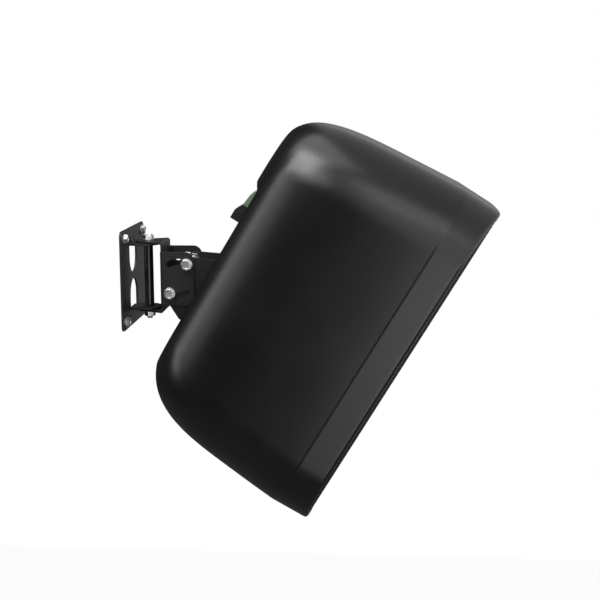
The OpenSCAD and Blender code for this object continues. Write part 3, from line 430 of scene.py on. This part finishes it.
def cabinet():
    """Rear moulding: outer skin, parting edge and inner skin in one closed shell."""
    outer = cabinet_rings(0.0, 84, 9)
    last = outer[-1]
    centre = np.array([0, RISE, 0])
    def edge(inset, z):
        ring = last.copy()
        d = ring[:, :2] - centre[:2]
        ring[:, :2] -= d / np.linalg.norm(d, axis=1)[:, None] * inset
        ring[:, 2] = z
        return ring
    outer[-1, :, 2] = PART_Z - SEAM
    rim = np.stack([edge(SEAM / 3, PART_Z - SEAM / 3), edge(SEAM, PART_Z)])
    inner = cabinet_rings(WALL, 40, 44)
    x, y = np.abs(inner[..., 0]), inner[..., 1]
    inner[..., 2] = np.maximum(inner[..., 2], back_plane(y) + WALL)
    in_well = (x < WELL_HALF + WELL_SKIN) & (y > WELL_LOW - WELL_SKIN) & (y < WELL_HIGH + WELL_SKIN)
    lifted = np.maximum(inner[..., 2], WELL_FLOOR + WELL_SKIN)
    inner[..., 2] = np.where(in_well, lifted, inner[..., 2])
    inner[-1, :, 2] = PART_Z
    pts = np.concatenate([outer, rim, inner[::-1]])
    obj = piece("cabinet_shell", to_row(pts), grid_faces(len(pts), pts.shape[1]), "speaker",
                12)
    mid = (WELL_HIGH + WELL_LOW) / 2
    path = rounded_path(2 * WELL_HALF, WELL_HIGH - WELL_LOW, 1.2, 6, 4)[0] + [0, mid]
    levels = (SEAT_Z - 20, WELL_FLOOR)
    box = np.stack([np.c_[path, np.full(len(path), z)] for z in levels])
    ends = np.stack([np.zeros_like(box[0]) + [0, mid, z] for z in levels])
    box = np.concatenate([ends[:1], box, ends[1:]])
    low, top, behind = -CAB_H, HOOD_Y + RECESS, SEAT_Z - 60
    side = np.array([(behind, low), (SEAT_Z, low), (SEAT_Z, HOOD_Y - RECESS),
                     (SEAT_Z - 2 * RECESS, top), (behind, top)])
    prism = np.stack([np.c_[np.full(5, x), side[:, 1], side[:, 0]] for x in (-CAB_W, CAB_W)])
    caps = np.stack([np.zeros((5, 3)) + prism[k].mean(0) for k in (0, 1)])
    prism = np.concatenate([caps[:1], prism, caps[1:]])
    boolean(obj, [cutter(to_row(prism), grid_faces(4, 5)),
                  cutter(to_row(box), grid_faces(4, len(path)))], 12)
    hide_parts("rear_cabinet")


def bow_z(x, off=0.0):
    """Height of the bowed front: a circle of the bow's radius, less off."""
    return BOW_AXIS + np.sqrt((BOW_R - off) ** 2 - x ** 2)


def carried(rows):
    """Carries a closed profile along the rounded outline. Each row is (inset, kind, a, b): at
    'flat' the height is a, at 'bow' it is the bowed front less a, and at 'mix' it lies at share b
    of the way from height a to the bowed front."""
    inset = np.array([r[0] for r in rows])
    path = rounded_path(CAB_W - 2 * inset, CAB_H - 2 * inset, CORNER_R - inset, 26, 40)
    out = np.empty(path.shape[:2] + (3,))
    out[..., :2] = path + [0, RISE]
    for k, (_, kind, a, b) in enumerate(rows):
        x = path[k, :, 0]
        if kind == "flat":
            out[k, :, 2] = a
        elif kind == "bow":
            out[k, :, 2] = bow_z(x) - a
        else:
            out[k, :, 2] = a + (bow_z(x) - 3.0 - a) * b
    return out


def round_rows(inset, drop, r, n):
    """Quarter round on the bowed front, about (inset, drop)."""
    a = np.linspace(0, np.pi / 2, n)
    return [(inset - r * math.cos(t), "bow", drop - r * math.sin(t), 0) for t in a]


def bezel():
    """Bezel band: outer wall, rounded rim on the bow, inner wall and the lip in the cabinet."""
    half = RIM_LESS / 2
    r_out, r_in = 3.0, 1.2
    rows = [(SEAM, "flat", PART_Z, 0), (SEAM / 3, "flat", PART_Z + SEAM / 3, 0),
            (0.0, "flat", PART_Z + SEAM, 0)]
    rows += [(half * t, "mix", PART_Z + SEAM, t) for t in np.linspace(0, 1, 12)[1:-1]]
    rows += round_rows(half + r_out, r_out, r_out, 9)
    inner, turn = half + BEZEL_WALL, half + BEZEL_WALL - r_in
    rows += [(turn, "bow", 0, 0)]
    rows += [(turn + r_in * math.sin(t), "bow", r_in * (1 - math.cos(t)), 0)
             for t in np.radians((22, 45, 67, 90))]
    rows += [(inner, "flat", BAFFLE_Z, 0), (inner, "flat", BAFFLE_Z - BAFFLE_T, 0)]
    rows += [(LIP_IN, "flat", BAFFLE_Z - BAFFLE_T, 0), (LIP_IN, "flat", PART_Z - LIP_REACH, 0),
             (LIP_OUT, "flat", PART_Z - LIP_REACH, 0), (LIP_OUT, "flat", PART_Z, 0)]
    pts = carried(rows)
    obj = piece("front_bezel", to_row(pts), grid_faces(len(pts), pts.shape[1], True), "speaker",
                38)
    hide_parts("front_baffle")


def disc_cutter(x, y, r, z0, z1, steps=64):
    """Round cutter between two heights."""
    pts, faces = lathe([(0, z0), (r, z0), (r, z1), (0, z1)], steps)
    return cutter(to_row(pts + [x, y, 0]), faces)


def baffle():
    """Baffle plate behind the grille, with the drivers' and the ports' openings."""
    path = rounded_path(CAB_W - 2 * LIP_IN, CAB_H - 2 * LIP_IN, CORNER_R - LIP_IN)[0] + [0, RISE]
    levels = (BAFFLE_Z - BAFFLE_T, BAFFLE_Z)
    rows = [np.c_[path, np.full(len(path), z)] for z in levels]
    mids = [np.zeros_like(rows[0]) + [0, RISE, z] for z in levels]
    pts = np.stack([mids[0], rows[0], rows[1], mids[1]])
    obj = piece("baffle_plate", to_row(pts), grid_faces(4, len(path)), "speaker")
    z0, z1 = BAFFLE_Z - BAFFLE_T - 3, BAFFLE_Z + 3
    cuts = [disc_cutter(0, WOOFER_Y, WOOFER_HOLE, z0, z1, 96),
            disc_cutter(0, TWEETER_Y, TWEETER_HOLE, z0, z1, 80)]
    cuts += [disc_cutter(s * PORT_X, TWEETER_Y, PORT_R, z0, z1) for s in (-1, 1)]
    boolean(obj, cuts)


def extruded(profile, x0, x1):
    """Closed (height, up) profile of the speaker frame, carried across from x0 to x1."""
    q = np.asarray(profile, float)
    ring = np.stack([np.c_[np.full(len(q), x), q[:, 1], q[:, 0]] for x in (x0, x1)])
    caps = np.stack([np.zeros_like(ring[0]) + ring[k].mean(0) for k in (0, 1)])
    return np.concatenate([caps[:1], ring, caps[1:]]), grid_faces(4, len(q))


def block(x0, x1, y0, y1, z0, z1):
    """Box between two corners in the speaker frame."""
    return extruded([(z0, y0), (z1, y0), (z1, y1), (z0, y1)], x0, x1)


def round_cut(x, y, z0, z1, r, along_y=False):
    """Short round hole along z, or along y from z0 to z1."""
    pts, faces = lathe([(0, z0), (r, z0), (r, z1), (0, z1)], 20)
    return (pts[..., [0, 2, 1]] + [x, 0, y] if along_y else pts + [x, y, 0]), faces


def terminal():
    """Header in the well and the plug below it: a side profile carried across, less the nose's
    socket, the pole grooves, the grip grooves, the wire entries and the screw holes."""
    top, seat = PLUG_TOP, SEAT_Z
    poles = [(i - (POLES - 1) / 2) * POLE_PITCH for i in range(POLES)]
    between = [x + POLE_PITCH / 2 for x in poles[:-1]]
    pts, faces = extruded([(seat - HEADER_BACK, top), (seat - 6.9, top + 12.3), (seat - 5.1, top + 17.4),
                           (seat - 2.7, top + HEADER_H), (seat + 6, top + HEADER_H), (seat + 6, top)],
                          -HEADER_HALF, HEADER_HALF)
    header = piece("header_block", to_row(pts), faces, "speaker", 20)
    cuts = [block(-10.3, 10.3, top - 1, top + 9.8, seat - 2.4, seat + 4.5)]
    cuts += [block(x - 0.3, x + 0.3, top + 1.5, top + 20, seat - 12, seat - 5.6) for x in between]
    pts, faces = gather(cuts)
    boolean(header, [cutter(to_row(pts), faces)], 20)
    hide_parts("terminal_header")
    low = top - PLUG_L
    body = [extruded([(seat - 8.7, top - 0.3), (seat + 4.2, top - 0.3), (seat + 4.2, low),
                      (seat - PLUG_BACK, low), (seat - PLUG_BACK, top - 8.4)], -PLUG_HALF, PLUG_HALF),
            block(-10, 10, top - 0.3, top + 9, seat - 2.1, seat + 4.2)]
    pts, faces = gather(body)
    plug_body = piece("plug_block", to_row(pts), faces, "plug", 20)
    cuts = [block(x - GROOVE / 2, x + GROOVE / 2, low - 1, top - 9, seat - 14, seat - 12.5) for x in between]
    cuts += [block(x - GROOVE / 2, x + GROOVE / 2, low + 1.2, top - 9.2, z, z + GROOVE)
             for x in (-PLUG_HALF, PLUG_HALF) for z in np.arange(seat - 12.2, seat - 1.5, 1.5)]
    cuts += [block(x - ENTRY, x + ENTRY, low - 1, low + 7, seat - 8, seat - 3) for x in poles]
    cuts += [round_cut(x, low + 8, seat - 14, seat - 9, DRIVER_R) for x in poles]
    cuts += [round_cut(x, seat + 1.05, top - 5, top + 10, 0.7, True) for x in poles]
    pts, faces = gather(cuts)
    boolean(plug_body, [cutter(to_row(pts), faces)], 20)
    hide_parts("terminal_plug")


def outline_distance(s, t, half_w, half_h, r):
    """Signed distance to a rounded rectangle, and its outward direction."""
    qx, qy = np.abs(s) - (half_w - r), np.abs(t) - (half_h - r)
    ox, oy = np.maximum(qx, 0), np.maximum(qy, 0)
    far = np.hypot(ox, oy)
    d = far + np.minimum(np.maximum(qx, qy), 0) - r
    corner = (qx > 0) & (qy > 0)
    gx = np.where(corner, ox / np.maximum(far, 1e-9), (qx >= qy).astype(float))
    gy = np.where(corner, oy / np.maximum(far, 1e-9), (qx < qy).astype(float))
    return d, gx * np.sign(s), gy * np.sign(t)


def grille():
    """Perforated sheet: hexagon cells with a six-sided hole each, laid on the bow by
    x = R sin(s / R), z = axis + R cos(s / R). Cells at the edge have no hole and end on the
    outline. A thin frame with a rounded edge closes it."""
    off = RIM_LESS / 2 + BEZEL_WALL + GRILLE_GAP
    radius = BOW_R - 0.5
    half_w = radius * math.asin((CAB_W / 2 - off) / radius) - 0.9
    half_h, r = CAB_H / 2 - off - 0.9, CORNER_R - off - 0.9
    pitch = HOLE_PITCH
    cols, rows = int(half_w / pitch) + 2, int(half_h / (pitch * 0.866)) + 2
    j, i = np.meshgrid(np.arange(-rows, rows + 1), np.arange(-cols, cols + 1), indexing="ij")
    s = (i + 0.5 * (np.abs(j) % 2)) * pitch
    t = j * pitch * math.sqrt(3) / 2
    s, t = s.ravel(), t.ravel()
    keep = outline_distance(s, t, half_w, half_h, r)[0] < 0.4
    s, t = s[keep], t[keep]
    a = np.radians(30 + 60 * np.arange(6))
    big = pitch / math.sqrt(3)
    cs, ct = s[:, None] + big * np.cos(a), t[:, None] + big * np.sin(a)
    d, gx, gy = outline_distance(cs, ct, half_w, half_h, r)
    push = np.maximum(d, 0)
    cs, ct = cs - push * gx, ct - push * gy
    open_cell = d.max(1) < -1.6
    hr = np.where(open_cell, HOLE_R, 0.0)[:, None]
    hs, ht = s[:, None] + hr * np.cos(a), t[:, None] + hr * np.sin(a)
    n = len(s)
    ss, tt = np.concatenate([cs, hs], 1), np.concatenate([ct, ht], 1)
    turn = ss / radius
    pts = np.stack([radius * np.sin(turn), tt + RISE, BOW_AXIS + radius * np.cos(turn)], -1)
    k = np.arange(6)
    ring = np.stack([k, (k + 1) % 6, (k + 1) % 6 + 6, k + 6], -1)
    faces = (np.arange(n)[:, None, None] * 12 + ring).reshape(-1, 4)
    obj = piece("grille_sheet", to_row(pts), faces, "speaker", 30, 2e-5)
    face_out(obj)
    mod = obj.modifiers.new("thickness", "SOLIDIFY")
    mod.thickness, mod.offset = GRILLE_SHEET * MM, -1.0
    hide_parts("grille")
    rows = [(off + 1.8, "bow", 0.5, 0), (off + 1.0, "bow", 0.62, 0), (off + 0.4, "bow", 1.0, 0),
            (off + 0.1, "bow", 1.6, 0), (off, "bow", 2.4, 0), (off, "flat", GRILLE_BACK, 0),
            (off + GRILLE_T, "flat", GRILLE_BACK, 0), (off + GRILLE_T, "bow", 2.8, 0),
            (off + GRILLE_T + 0.5, "bow", 1.9, 0), (off + 1.9, "bow", 1.6, 0)]
    pts = carried(rows)
    piece("grille_edge", to_row(pts), grid_faces(len(pts), pts.shape[1], True), "speaker",
          50)


def face_out(obj):
    """Turns an open sheet's faces so that they look along the speaker's nose."""
    nose = Vector(to_row(np.array([0, 0, 1000.0])) - to_row(np.array([0, 0, 0.0])))
    total = Vector((0, 0, 0))
    for poly in obj.data.polygons:
        total += poly.normal * poly.area
    if total.dot(nose) < 0:
        obj.data.flip_normals()


# Shader maths
MIX_A, MIX_B, MIX_OUT = 6, 7, 2            # colour sockets of the Mix node


class Socket:
    """Output of a node. Operators on it, with numbers on either side, add Math nodes."""

    def __init__(self, tree, out):
        self.tree, self.out = tree, out

    def _math(self, op, a, b):
        node = self.tree.nodes.new("ShaderNodeMath")
        node.operation = op
        for socket, value in zip(node.inputs, (a, b)):
            plug(self.tree, socket, value)
        return Socket(self.tree, node.outputs[0])

    def __add__(self, o):
        return self._math("ADD", self, o)

    def __radd__(self, o):
        return self._math("ADD", o, self)

    def __sub__(self, o):
        return self._math("SUBTRACT", self, o)

    def __rsub__(self, o):
        return self._math("SUBTRACT", o, self)

    def __mul__(self, o):
        return self._math("MULTIPLY", self, o)

    def __rmul__(self, o):
        return self._math("MULTIPLY", o, self)


def plug(tree, socket, value):
    """Links a Socket, or sets a plain value."""
    if isinstance(value, Socket):
        tree.links.new(value.out, socket)
    elif value is not None:
        socket.default_value = value


class Nodes:
    """A node tree under construction. node() adds any node: its settings, then its sockets."""

    def __init__(self, tree):
        self.tree = tree

    def node(self, kind, settings=None, inputs=None, out=0):
        node = self.tree.nodes.new(kind)
        for key, value in (settings or {}).items():
            setattr(node, key, value)
        for key, value in (inputs or {}).items():
            plug(self.tree, node.inputs[key], value)
        return Socket(self.tree, node.outputs[out]) if node.outputs else None

    def ramp(self, value, low, high, out_low=0.0, out_high=1.0, curve="LINEAR"):
        return self.node("ShaderNodeMapRange", {"clamp": True, "interpolation_type": curve},
                         {"Value": value, "From Min": low, "From Max": high, "To Min": out_low,
                          "To Max": out_high})

    def mix(self, share, a, b):
        return self.node("ShaderNodeMix", {"data_type": "RGBA"},
                         {"Factor": share, MIX_A: a, MIX_B: b}, MIX_OUT)


class Finish(Nodes):
    """A material under construction, with short names for what the finishes share."""

    def __init__(self, name, **fixed):
        self.mat = bpy.data.materials.new(name)
        self.mat.use_nodes = True
        super().__init__(self.mat.node_tree)
        self.shader = self.tree.nodes["Principled BSDF"]
        self.spot = self.node("ShaderNodeTexCoord", out="Object")
        for key, value in fixed.items():
            self.set(key.replace("_", " "), value)

    def set(self, name, value):
        titles = {s.name.lower(): s for s in self.shader.inputs}
        plug(self.tree, titles[name.lower()], value)

    def noise(self, scale, detail=2.0, rough=0.5):
        return self.node("ShaderNodeTexNoise", None,
                         {"Vector": self.spot, "Scale": scale, "Detail": detail, "Roughness": rough})

    def cells(self, scale, smooth=0.3):
        return self.node("ShaderNodeTexVoronoi", {"feature": "SMOOTH_F1"},
                         {"Vector": self.spot, "Scale": scale, "Smoothness": smooth})

    def bands(self, direction, scale):
        return self.node("ShaderNodeTexWave", {"bands_direction": direction},
                         {"Vector": self.spot, "Scale": scale, "Distortion": 0.4})

    def relief(self, height, distance, strength=1.0, edge=None):
        """Bump on the normal. With edge, the corners look rounded by that radius."""
        normal = self.node("ShaderNodeBevel", {"samples": 4}, {"Radius": edge}) if edge else None
        self.set("Normal", self.node("ShaderNodeBump", None,
                                     {"Height": height, "Distance": distance, "Strength": strength,
                                      "Normal": normal}))


def grey(v, tint=(1.0, 1.0, 1.0)):
    """Opaque colour of one tone, with a tint over it."""
    return (v * tint[0], v * tint[1], v * tint[2], 1.0)


def moulded(name, tone, rough, grain=1500.0, depth=0.00003, tint=(1.0, 1.0, 1.04), specular=0.65,
            edge=None):
    """Moulded plastic: fine spark-eroded grain in the relief, slow drift in tone and gloss."""
    f = Finish(name, Specular_IOR_Level=specular)
    drift = f.noise(14.0, 3.0)
    speck = f.noise(grain * 0.5, 2.0, 0.6)
    f.set("Base Color", f.mix(f.ramp(drift, 0.35, 0.7), grey(tone * 0.9, tint),
                              grey(tone * 1.15, tint)))
    f.set("Roughness", f.ramp(drift * 0.6 + speck * 0.4, 0.3, 0.7, rough - 0.03, rough + 0.04))
    f.relief(f.cells(grain) + speck * 0.6, depth, 0.25, edge)
    return f.mat


def powder_coat(name, tone, rough=0.5, specular=0.4):
    """Powder coat: fine orange peel with a coarser flow over it, and rounded sheet edges."""
    f = Finish(name, Specular_IOR_Level=specular)
    peel = f.cells(1100.0, smooth=0.8)
    flow = f.noise(420.0, 2.0)
    drift = f.noise(30.0, 2.0)
    f.set("Base Color", f.mix(f.ramp(drift, 0.3, 0.7), grey(tone * 0.85), grey(tone * 1.2)))
    f.set("Roughness", f.ramp(flow, 0.3, 0.7, rough - 0.05, rough + 0.07))
    f.relief(peel * 0.7 + flow * 0.6, 0.00008, 0.6, 0.0005)
    return f.mat


def metal(name, colour, rough):
    """Plated metal: clouded gloss, fine scuffs and a slight tint drift."""
    f = Finish(name, Metallic=1.0)
    cloud = f.noise(220.0, 4.0, 0.6)
    scuff = f.noise(900.0, 3.0, 0.7)
    dim = tuple(c * 0.82 for c in colour[:3]) + (1.0,)
    f.set("Base Color", f.mix(f.ramp(cloud, 0.35, 0.65), dim, colour))
    f.set("Roughness", f.ramp(cloud * 0.5 + scuff * 0.5, 0.3, 0.7, rough - 0.08, rough + 0.1))
    f.relief(scuff, 0.00003, 0.4)
    return f.mat


def cloth(name, tone, scale=1600.0, tint=(1, 1, 1)):
    """Woven cloth: two crossed sets of threads as sines of x and of the height."""
    f = Finish(name, Specular_IOR_Level=0.2)
    weave = f.bands("X", scale) * f.bands("Z", scale)
    f.set("Base Color", f.mix(weave, grey(tone * 0.6, tint), grey(tone * 1.3, tint)))
    f.set("Roughness", f.ramp(weave, 0, 1, 0.95, 0.8))
    f.relief(weave, 0.0001, 0.5)
    return f.mat


def dress(node, mat):
    """Gives a CAD node's object a material."""
    obj = NODE[node]
    if not obj.material_slots:
        obj.data.materials.append(None)
    for slot in obj.material_slots:
        slot.link = "OBJECT"
        slot.material = mat


def wear(obj, mat):
    """Gives one of this script's own pieces a material."""
    obj.data.materials.clear()
    obj.data.materials.append(mat)


# Build
wall_fasteners()
pan_fasteners()
tilt_fasteners()
cabinet()
bezel()
baffle()
grille()
terminal()

SHELL = moulded("satin_black_moulding", 0.0055, 0.28, 2200.0, 0.000008)
COAT = powder_coat("black_powder_coat", 0.015)
ZINC = metal("bright_zinc", (0.86, 0.86, 0.85, 1.0), 0.30)
GRILLE = powder_coat("grille_paint", 0.007, 0.6, 0.25)
BLACK_OXIDE = metal("black_oxide", (0.09, 0.09, 0.095, 1.0), 0.4)
SLEEVE = moulded("sleeve_black", 0.010, 0.17, 700.0, 0.00001)
GREEN = moulded("connector_green", 0.26, 0.5, 1300.0, 0.00003, (0.66, 1.0, 0.58), edge=0.0004)
PLUG_BLACK = moulded("connector_black", 0.010, 0.45, 900.0, 0.00012, edge=0.0004)
STEEL = metal("motor_steel", (0.55, 0.55, 0.57, 1.0), 0.35)
COPPER = metal("copper_winding", (0.75, 0.36, 0.16, 1.0), 0.3)
BRASS = metal("plain_brass", (0.72, 0.55, 0.26, 1.0), 0.3)
TIN = metal("tin_plating", (0.78, 0.77, 0.72, 1.0), 0.25)
FERRITE = moulded("ferrite", 0.025, 0.6, 500.0, 0.0001)
FRAME = moulded("driver_frame", 0.015, 0.5)
RUBBER = moulded("surround_rubber", 0.01, 0.6)
CONE = moulded("coated_paper", 0.02, 0.7, 260.0, 0.0002)
DOME = cloth("coated_silk", 0.02)
CLOTH = cloth("acoustic_cloth", 0.006)
SPIDER = cloth("stiffened_cloth", 0.4, 1200.0, (1.0, 0.8, 0.45))
WOOL = cloth("fibre_fill", 0.55, 300.0)
BOARD = moulded("solder_mask", 0.06, 0.35, 400.0, 0.00002, (0.2, 1.0, 0.45))
SLEEVED = moulded("capacitor_sleeve", 0.05, 0.3, 300.0, 0.00001, (0.5, 0.6, 1.6))

dressing = {
    COAT: ("wall_plate", "swivel_bracket", "speaker_yoke"),
    ZINC: ("plug_screws", "board_screws"),
    TIN: ("terminal_pins",),
    BRASS: ("yoke_inserts",),
    BLACK_OXIDE: ("baffle_screws", "woofer_screws", "tweeter_screws"),
    CLOTH: ("grille_liner",),
    FRAME: ("woofer_basket", "tweeter_waveguide"),
    SHELL: ("port_tubes",),
    STEEL: ("woofer_top_plate", "woofer_pole_yoke"),
    FERRITE: ("woofer_magnet", "tweeter_motor"),
    SPIDER: ("woofer_spider",),
    COPPER: ("woofer_voice_coil", "crossover_coil"),
    CONE: ("woofer_cone", "woofer_dust_cap"),
    RUBBER: ("woofer_surround",),
    DOME: ("tweeter_dome",),
    BOARD: ("crossover_board",),
    SLEEVED: ("crossover_capacitors",),
    WOOL: ("damping_pad",),
}
wearing = {
    SHELL: ("cabinet_shell", "front_bezel", "baffle_plate"),
    GRILLE: ("grille_sheet", "grille_edge"),
    ZINC: ("wall_screw_set", "wall_washer_set", "pan_bolt_threaded", "pan_nut_hex",
           "pan_washer_pair", "tilt_bolt_set", "tilt_washer_set", "tilt_nut_set"),
    SLEEVE: ("pan_spacer",),
    BLACK_OXIDE: ("yoke_screw_set",),
    GREEN: ("header_block",),
    PLUG_BLACK: ("plug_block",),
}
for mat, nodes in dressing.items():
    for node in nodes:
        dress(node, mat)
for mat, names in wearing.items():
    for name in names:
        wear(bpy.data.objects[name], mat)


# Studio
def lamp(name, place_at, aim, size, power):
    """Soft box: an area light that looks at a point."""
    data = bpy.data.lights.new(name, "AREA")
    data.shape, data.size, data.size_y, data.energy = "RECTANGLE", size[0], size[1], power
    obj = bpy.data.objects.new(name, data)
    obj.location = place_at
    obj.rotation_euler = (Vector(aim) - Vector(place_at)).to_track_quat("-Z", "Y").to_euler()
    bpy.context.scene.collection.objects.link(obj)


def surroundings():
    """World that is white to the camera. Glossy and transmission rays see a white room side that
    fades towards the wall, the far side and the ceiling; other rays see an even grey."""
    world = bpy.data.worlds.new("studio")
    bpy.context.scene.world = world
    world.use_nodes = True
    world.node_tree.nodes.clear()
    n = Nodes(world.node_tree)
    seen = n.node("ShaderNodeLightPath", out="Is Camera Ray")
    bright = n.node("ShaderNodeLightPath", out="Is Glossy Ray") \
        + n.node("ShaderNodeLightPath", out="Is Transmission Ray")
    where = n.node("ShaderNodeTexCoord", out="Generated")
    along = [(n.node("ShaderNodeSeparateXYZ", None, {0: where}, axis), dark, white)
             for axis, dark, white in GLOSS_FADES]
    room, near, low_down = [n.ramp(way, dark, white, curve="SMOOTHSTEP") for way, dark, white in along]
    level = room * (low_down * near * GLOSS_NEAR + GLOSS_FAR) + GLOSS_REST
    strength = seen + bright * level + (1 - seen - bright) * AMBIENT
    sky = n.node("ShaderNodeBackground", None, {"Color": grey(1.0), "Strength": strength})
    n.node("ShaderNodeOutputWorld", None, {0: sky})


def pale_floor():
    """Square floor that is white to the camera and throws little light up at the object."""
    mesh = bpy.data.meshes.new("floor")
    corners = [(x * FLOOR_HALF, y * FLOOR_HALF, FLOOR_Z)
               for x, y in ((-1, -1), (1, -1), (1, 1), (-1, 1))]
    mesh.from_pydata(corners, [], [(0, 1, 2, 3)])
    floor = bpy.data.objects.new("floor", mesh)
    bpy.context.scene.collection.objects.link(floor)
    f = Finish("pale_floor", Base_Color=grey(0.12), Roughness=0.9)
    glow = f.node("ShaderNodeEmission", None, {"Color": grey(1.0)})
    seen = f.node("ShaderNodeLightPath", out="Is Camera Ray")
    blend = f.node("ShaderNodeMixShader", None,
                   {0: seen * 0.97, 1: Socket(f.tree, f.shader.outputs[0]), 2: glow})
    plug(f.tree, f.tree.nodes["Material Output"].inputs[0], blend)
    mesh.materials.append(f.mat)


FLOOR_Z = -1.1
FLOOR_HALF = 2.0
AMBIENT = 0.40
GLOSS_FADES = (("Y", 0.15, -0.03), ("X", 0.8, 0.0), ("Z", 0.9, 0.3))   # axis, dark at, white at
GLOSS_NEAR, GLOSS_FAR, GLOSS_REST = 0.65, 0.4, 0.03
SPEAKER = (0.0, -0.17, 0.0)
SIDE_HIGH = (0.0, -0.3, 0.05)
SIDE_LOW = (0.0, -0.25, -0.15)
surroundings()
pale_floor()
lamp("top_box", (-0.10, 0.10, 1.25), SPEAKER, (1.3, 0.9), 6.0)
lamp("side_top_box", (-0.90, 0.30, 0.85), SPEAKER, (0.6, 0.5), 2.0)
lamp("top_rear_box", (-0.50, 0.50, 1.20), SPEAKER, (0.9, 0.8), 12.0)
lamp("room_high_box", (-0.90, -0.60, 0.80), SIDE_HIGH, (0.6, 0.5), 1.0)
lamp("room_low_box", (-1.1, -0.70, -0.55), SIDE_LOW, (0.7, 0.7), 1.5)
lamp("wall_side_box", (-0.45, 1.35, 0.45), SPEAKER, (0.5, 1.3), 4.3)
lamp("rear_box", (-0.85, 1.05, 0.55), SPEAKER, (0.4, 1.0), 1.2)


ELEVATION, SIDE_TURN, ROLL = [math.radians(v) for v in (9.8796, 4.4383, -0.2228)]
ORIGIN_PX = (131.924, 274.629)             # the pixel on which the frame's origin falls
MIDDLE_PX = 300
FOCAL_PX = 1200.0
ORIGIN_DEPTH = 1.238766
SENSOR, LENS = 36.0, 72.0                  # mm, the same focal length on a 600 pixel picture


def camera():
    """Camera at the photograph's angle. The frame's origin falls on a known pixel, and its depth
    along the view axis fixes the distance."""
    level = math.cos(ELEVATION)
    back = np.array([-level * math.cos(SIDE_TURN), -level * math.sin(SIDE_TURN), math.sin(ELEVATION)])
    right = np.cross([0, 0, 1.0], back)
    right /= np.linalg.norm(right)
    up = np.cross(back, right)
    across = math.cos(ROLL) * right + math.sin(ROLL) * up
    upward = -math.sin(ROLL) * right + math.cos(ROLL) * up
    dx, dy = [(v - MIDDLE_PX) / FOCAL_PX * ORIGIN_DEPTH for v in ORIGIN_PX]
    eye = back * ORIGIN_DEPTH - across * dx + upward * dy
    data = bpy.data.cameras.new("camera")
    data.sensor_width, data.lens = SENSOR, LENS
    obj = bpy.data.objects.new("camera", data)
    turn = Matrix((tuple(across), tuple(upward), tuple(back))).transposed().to_4x4()
    obj.matrix_world = Matrix.Translation(Vector(eye)) @ turn
    bpy.context.scene.collection.objects.link(obj)
    bpy.context.scene.camera = obj


camera()
bpy.context.scene.view_settings.view_transform = "Standard"
